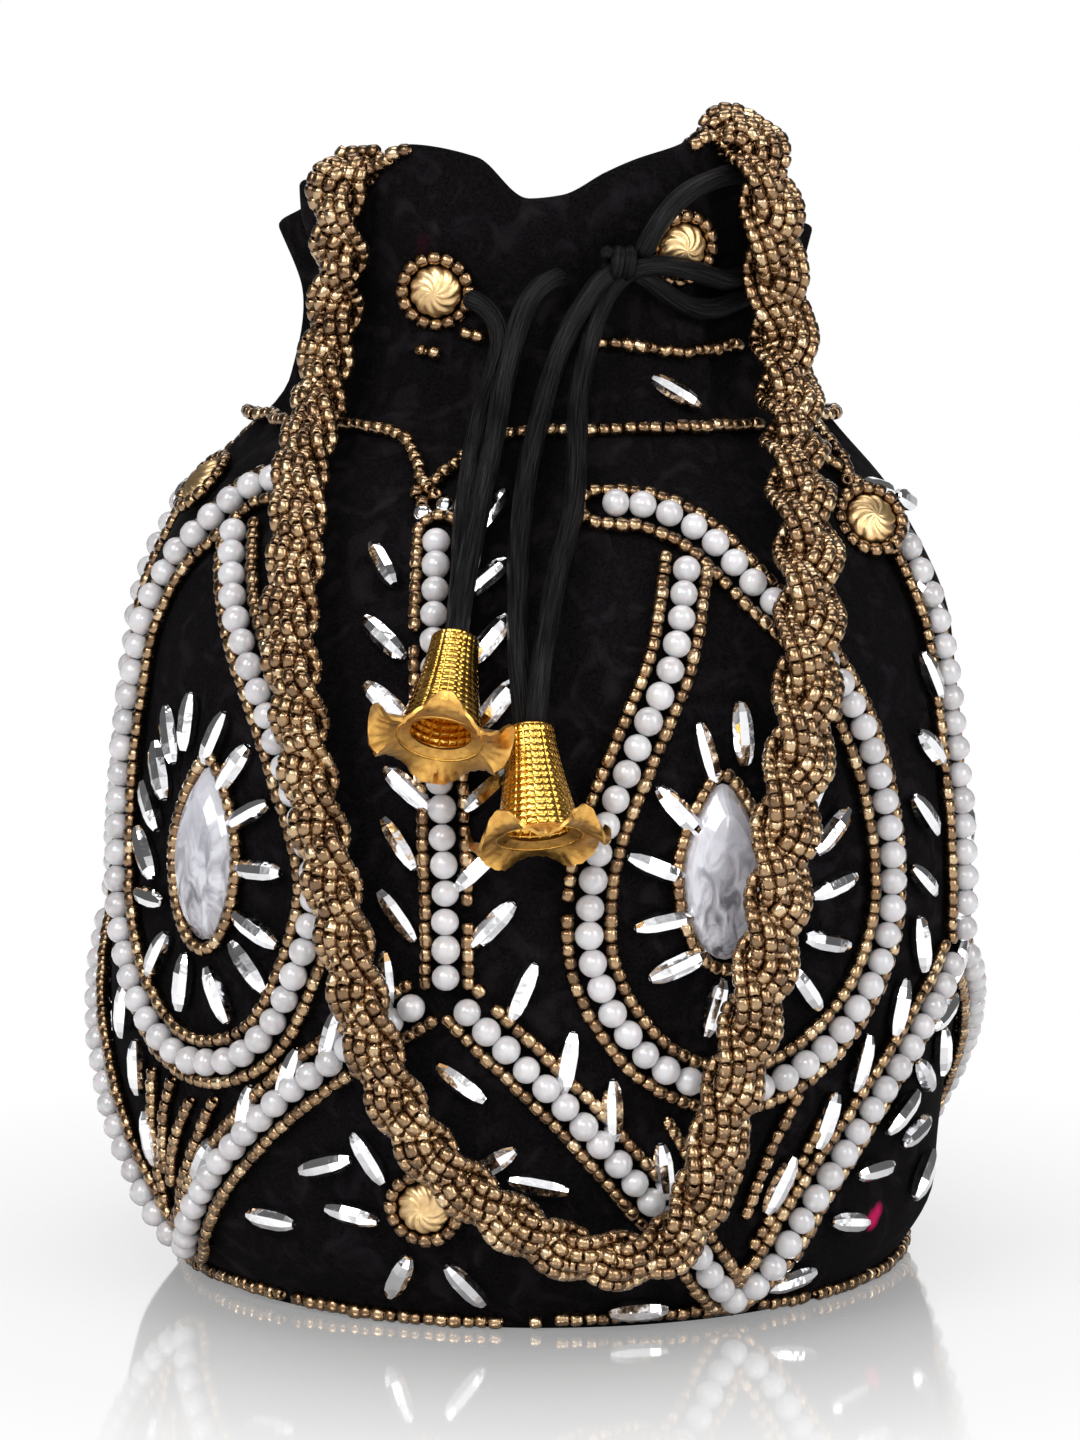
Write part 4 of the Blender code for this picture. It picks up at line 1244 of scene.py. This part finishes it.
def buttonFrame(name, lift):
    angle, height = buttonPlaces[name]
    turned = buttonStyle["turned"].get(name, 0)
    place = frameOnWall(angle, height, lift + abs(turned) * 0.06 * mm)
    return place @ Matrix.Rotation(math.radians(turned), 4, "Y")


def buttonProfile(style):
    profile = [(style["radius"] * 0.96, -style["foot"])]
    for k in range(style["rows"] + 1):
        turn = k / style["rows"] * math.pi / 2
        radius = max(0.02 * mm, style["radius"] * math.cos(turn))
        profile.append((radius, style["rise"] * math.sin(turn) ** 0.9))
    return profile


def makeButtons():
    style = buttonStyle
    for name in buttonPlaces:
        disc = latheShape("button_" + name, buttonProfile(style), style["sides"], 45)
        for vertex in disc.data.vertices:
            if vertex.co.z <= -0.5 * style["foot"]:
                continue
            share = math.hypot(vertex.co.x, vertex.co.y) / style["radius"]
            turn = math.atan2(vertex.co.y, vertex.co.x) + style["twist"] * (1 - share)
            groove = abs(math.sin(0.5 * style["lobes"] * turn)) ** 0.6
            pinch = 1 - 0.10 * (1 - groove) * share
            vertex.co.x *= pinch
            vertex.co.y *= pinch
            vertex.co.z -= style["groove"] * smoothStep(share, 0.06, 0.45) * (1 - groove)
        disc.data.transform(buttonFrame(name, 1.3 * mm))
        finishPiece(disc, buttonGold, ("swirl_button_" + name,))
    places = []
    for name in buttonPlaces:
        place = buttonFrame(name, 1.2 * mm)
        turned = place.to_3x3()
        out = turned @ Vector((0, 0, 1))
        count = round(2 * math.pi * style["ring"] / style["ringPitch"])
        for k in range(count):
            turn = 2 * math.pi * k / count
            spot = Vector((math.cos(turn), math.sin(turn), 0)) * style["ring"]
            along = turned @ Vector((-math.sin(turn), math.cos(turn), random.uniform(-0.1, 0.1)))
            size = random.uniform(0.94, 1.05)
            places.append(frameAlong(place @ spot, along, out, (size, size, size)))
    copyShape("button_seed_rings", seed, places, bronze, brightest=0.6)


stones = {
    "height": 32 * mm, "width": 16.5 * mm, "depth": 4.2 * mm, "rise": 0.0865, "narrowing": 0.42, "sides": 28,
    "shift": {"front_left": 2, "front_right": -4, "back_left": -4, "back_right": -4}, "lift": 0.4 * mm,
}


def dropPoint(turn, share, lift):
    narrowing = 1 - stones["narrowing"] * max(0.0, math.cos(turn)) ** 1.5
    x = -0.5 * stones["width"] * math.sin(turn) * narrowing * share
    return Vector((x, 0.5 * stones["height"] * math.cos(turn) * share, lift))


def makeStones():
    # A cut drop: girdle, two crown tiers and a table, each tier turned by half a facet
    sides = stones["sides"]
    tiers = ((0.97, 0.0, 0), (1.0, 0.22, 0), (0.86, 0.62, 1), (0.66, 0.90, 0), (0.30, 1.0, 1))
    seeds = []
    for side, lead in embroidery["medallions"].items():
        place = frameOnWall(lead + stones["shift"][side], stones["rise"], stones["lift"])
        deselectAll()
        bpy.ops.mesh.primitive_cylinder_add(vertices=sides, radius=1, depth=2, end_fill_type="NGON")
        drop = bpy.context.active_object
        drop.name = "drop_" + side
        bpy.ops.object.mode_set(mode="EDIT")
        bpy.ops.mesh.select_all(action="DESELECT")
        bpy.ops.object.mode_set(mode="OBJECT")
        top = max(drop.data.polygons, key=lambda face: face.center.z)
        top.select = True
        bpy.ops.object.mode_set(mode="EDIT")
        bpy.ops.mesh.select_mode(type="FACE")
        for k in range(3):
            bpy.ops.mesh.extrude_region_move(TRANSFORM_OT_translate={"value": (0, 0, 1)})
        bpy.ops.mesh.select_mode(type="VERT")
        bpy.ops.object.mode_set(mode="OBJECT")
        for vertex in drop.data.vertices:
            share, rise, half = tiers[round(vertex.co.z) if vertex.co.z > 0 else 0]
            turn = math.atan2(vertex.co.y, vertex.co.x) + half * math.pi / sides
            vertex.co = place @ dropPoint(turn, share, rise * stones["depth"])
        bpy.ops.object.shade_smooth_by_angle(angle=math.radians(9))
        finishPiece(drop, stoneMilk, ("stone_" + side,))
        out = place.to_3x3() @ Vector((0, 0, 1))
        ring = [(place @ dropPoint(2 * math.pi * k / 72, 1.11, 1.0 * mm), out) for k in range(72)]
        for spot, along, _ in resample(ring, 2.3 * mm, closed=True):
            seeds.append(frameAlong(spot, along, out))
    copyShape("drop_seed_bezels", seed, seeds, bronze)


makeRice()
makeSprigs()
makeSeedLines()
makeButtons()
makeStones()
print("rice beads, seeds, buttons and drops are made")


# Plaited handle, bead by bead

handle = {
    "widths": (  # (share of the length, whole width in mm)
        (0.0, 12.5), (0.05, 11.5), (0.12, 10.6), (0.40, 10.8), (0.56, 11.2), (0.66, 13.0), (0.74, 14.0),
        (0.86, 13.6), (0.95, 12.6), (1.0, 12.0),
    ),
    "step": 0.8 * mm,
    "halfDepth": 2.5 * mm,
    "endDepth": 0.45,  # share of the depth that is left at the ends
    "flatEnd": 14 * mm,  # the plait lies flatter where it goes over the rim
    "pitch": 34 * mm,  # one crossing to and fro, where the plait is 12 mm wide
    "strings": 3,
    "stringGap": 2.35 * mm,
    "crown": 0.6 * mm,  # how much the middle string of a strand stands up
    "bead": 2.6 * mm,
    "beadPitch": 2.35 * mm,
    "route": (
        (-46, 0.2050, -0.0060), (-46, 0.2092, -0.0045), (-45.8, 0.2112, 0.0002), (-45.6, 0.2085, 0.0058),
        (-44.8, 0.1982, 0.0070), (-47.9, 0.187, 0.0076), (-47, 0.1741, 0.0100),
        (-38.5, 0.1603, 0.0140), (-33.5, 0.1482, 0.0126), (-31.5, 0.1331, 0.0112), (-29, 0.117, 0.0112),
        (-27, 0.104, 0.0112), (-24.7, 0.091, 0.0112), (-22.3, 0.0771, 0.0112), (-19.5, 0.0631, 0.0112),
        (-16, 0.0491, 0.0112), (-10.8, 0.0365, 0.0112), (-3.4, 0.0262, 0.0112), (3, 0.0200, 0.0112),
        (9.5, 0.0175, 0.0112), (15.2, 0.0192, 0.0112), (19, 0.0260, 0.0112), (21, 0.037, 0.0112),
        (22.5, 0.050, 0.0112), (24.7, 0.0659, 0.0112), (26.7, 0.082, 0.0112), (28.2, 0.0971, 0.0112),
        (30.8, 0.112, 0.0112), (32.5, 0.1273, 0.0112), (35.4, 0.1426, 0.0122), (38.3, 0.1558, 0.0142),
        (48.1, 0.1682, 0.0136), (53, 0.1821, 0.0104), (48.8, 0.1971, 0.0104), (47.1, 0.2081, 0.0092),
        (47.2, 0.2140, 0.0072), (47.4, 0.2175, 0.0036), (47, 0.2182, -0.0015), (46.5, 0.2150, -0.0050),
        (46, 0.2100, -0.0065),
    ),
    "rimRows": ((-41, -29), (33, 43)),  # from and to, in degrees
}


def strandLines(even):
    # Three strands cross from edge to edge, over one and under the next, with their strings side by side
    step = handle["step"]
    lines = {strand: {} for strand in range(3)}
    phase = 0.0
    for k, (place, along, out) in enumerate(even):
        walked = step * k
        width = curveValue(handle["widths"], k / len(even)) * mm
        half = 0.5 * (width - handle["bead"]) - handle["stringGap"]
        flat = smoothStep(min(walked, step * len(even) - walked), 0.0, handle["flatEnd"])
        deep = handle["halfDepth"] * (handle["endDepth"] + (1 - handle["endDepth"]) * flat)
        pace = 2 * math.pi / (handle["pitch"] * width / (12 * mm))
        out = (out - along * out.dot(along)).normalized()
        side = along.cross(out)
        for strand in range(3):
            turn = phase + 2 * math.pi * strand / 3
            middle = place + side * half * math.sin(turn) + out * deep * math.sin(2 * turn)
            course = along + side * half * pace * math.cos(turn)
            across = (side - course * side.dot(course) / course.length_squared).normalized()
            for string in range(handle["strings"]):
                share = string - 0.5 * (handle["strings"] - 1)
                slack = 0.12 * mm * noise.noise(Vector((walked * 60, string * 3.7, strand * 9.1)))
                spot = middle + across * (share * handle["stringGap"] + slack)
                spot += out * handle["crown"] * (1 - abs(share))
                lines[strand].setdefault(string, []).append((spot, out))
        phase += pace * step
    return lines


def makeHandle():
    even = resample(routeLine(handle["route"]), handle["step"])
    grain = seedShape(handle["bead"], handle["beadPitch"], beads["seedHole"])
    for strand, strings in strandLines(even).items():
        places = []
        for path in strings.values():
            places += beadsOn(path, handle["beadPitch"], 0.06 * mm, 0.05, 0.05)
        name = "handle_strand_%d" % (strand + 1)
        copyShape(name + "_beads", grain, places, bronze, (name,))
    places = []
    for start, end in handle["rimRows"]:
        row = []
        for angle in range(start, end + 1, 2):
            row.append((angle, bag["neckHeight"] + curveValue(bag["rim"], angle) - 0.3 * mm))
        places += beadsOn(wallLine(row, 0.0, 1.0 * mm), 2.3 * mm, 0.25 * mm, 0.25, 0.08)
    copyShape("rim_seeds", grain, places, bronze)


makeHandle()
print("handle is made")
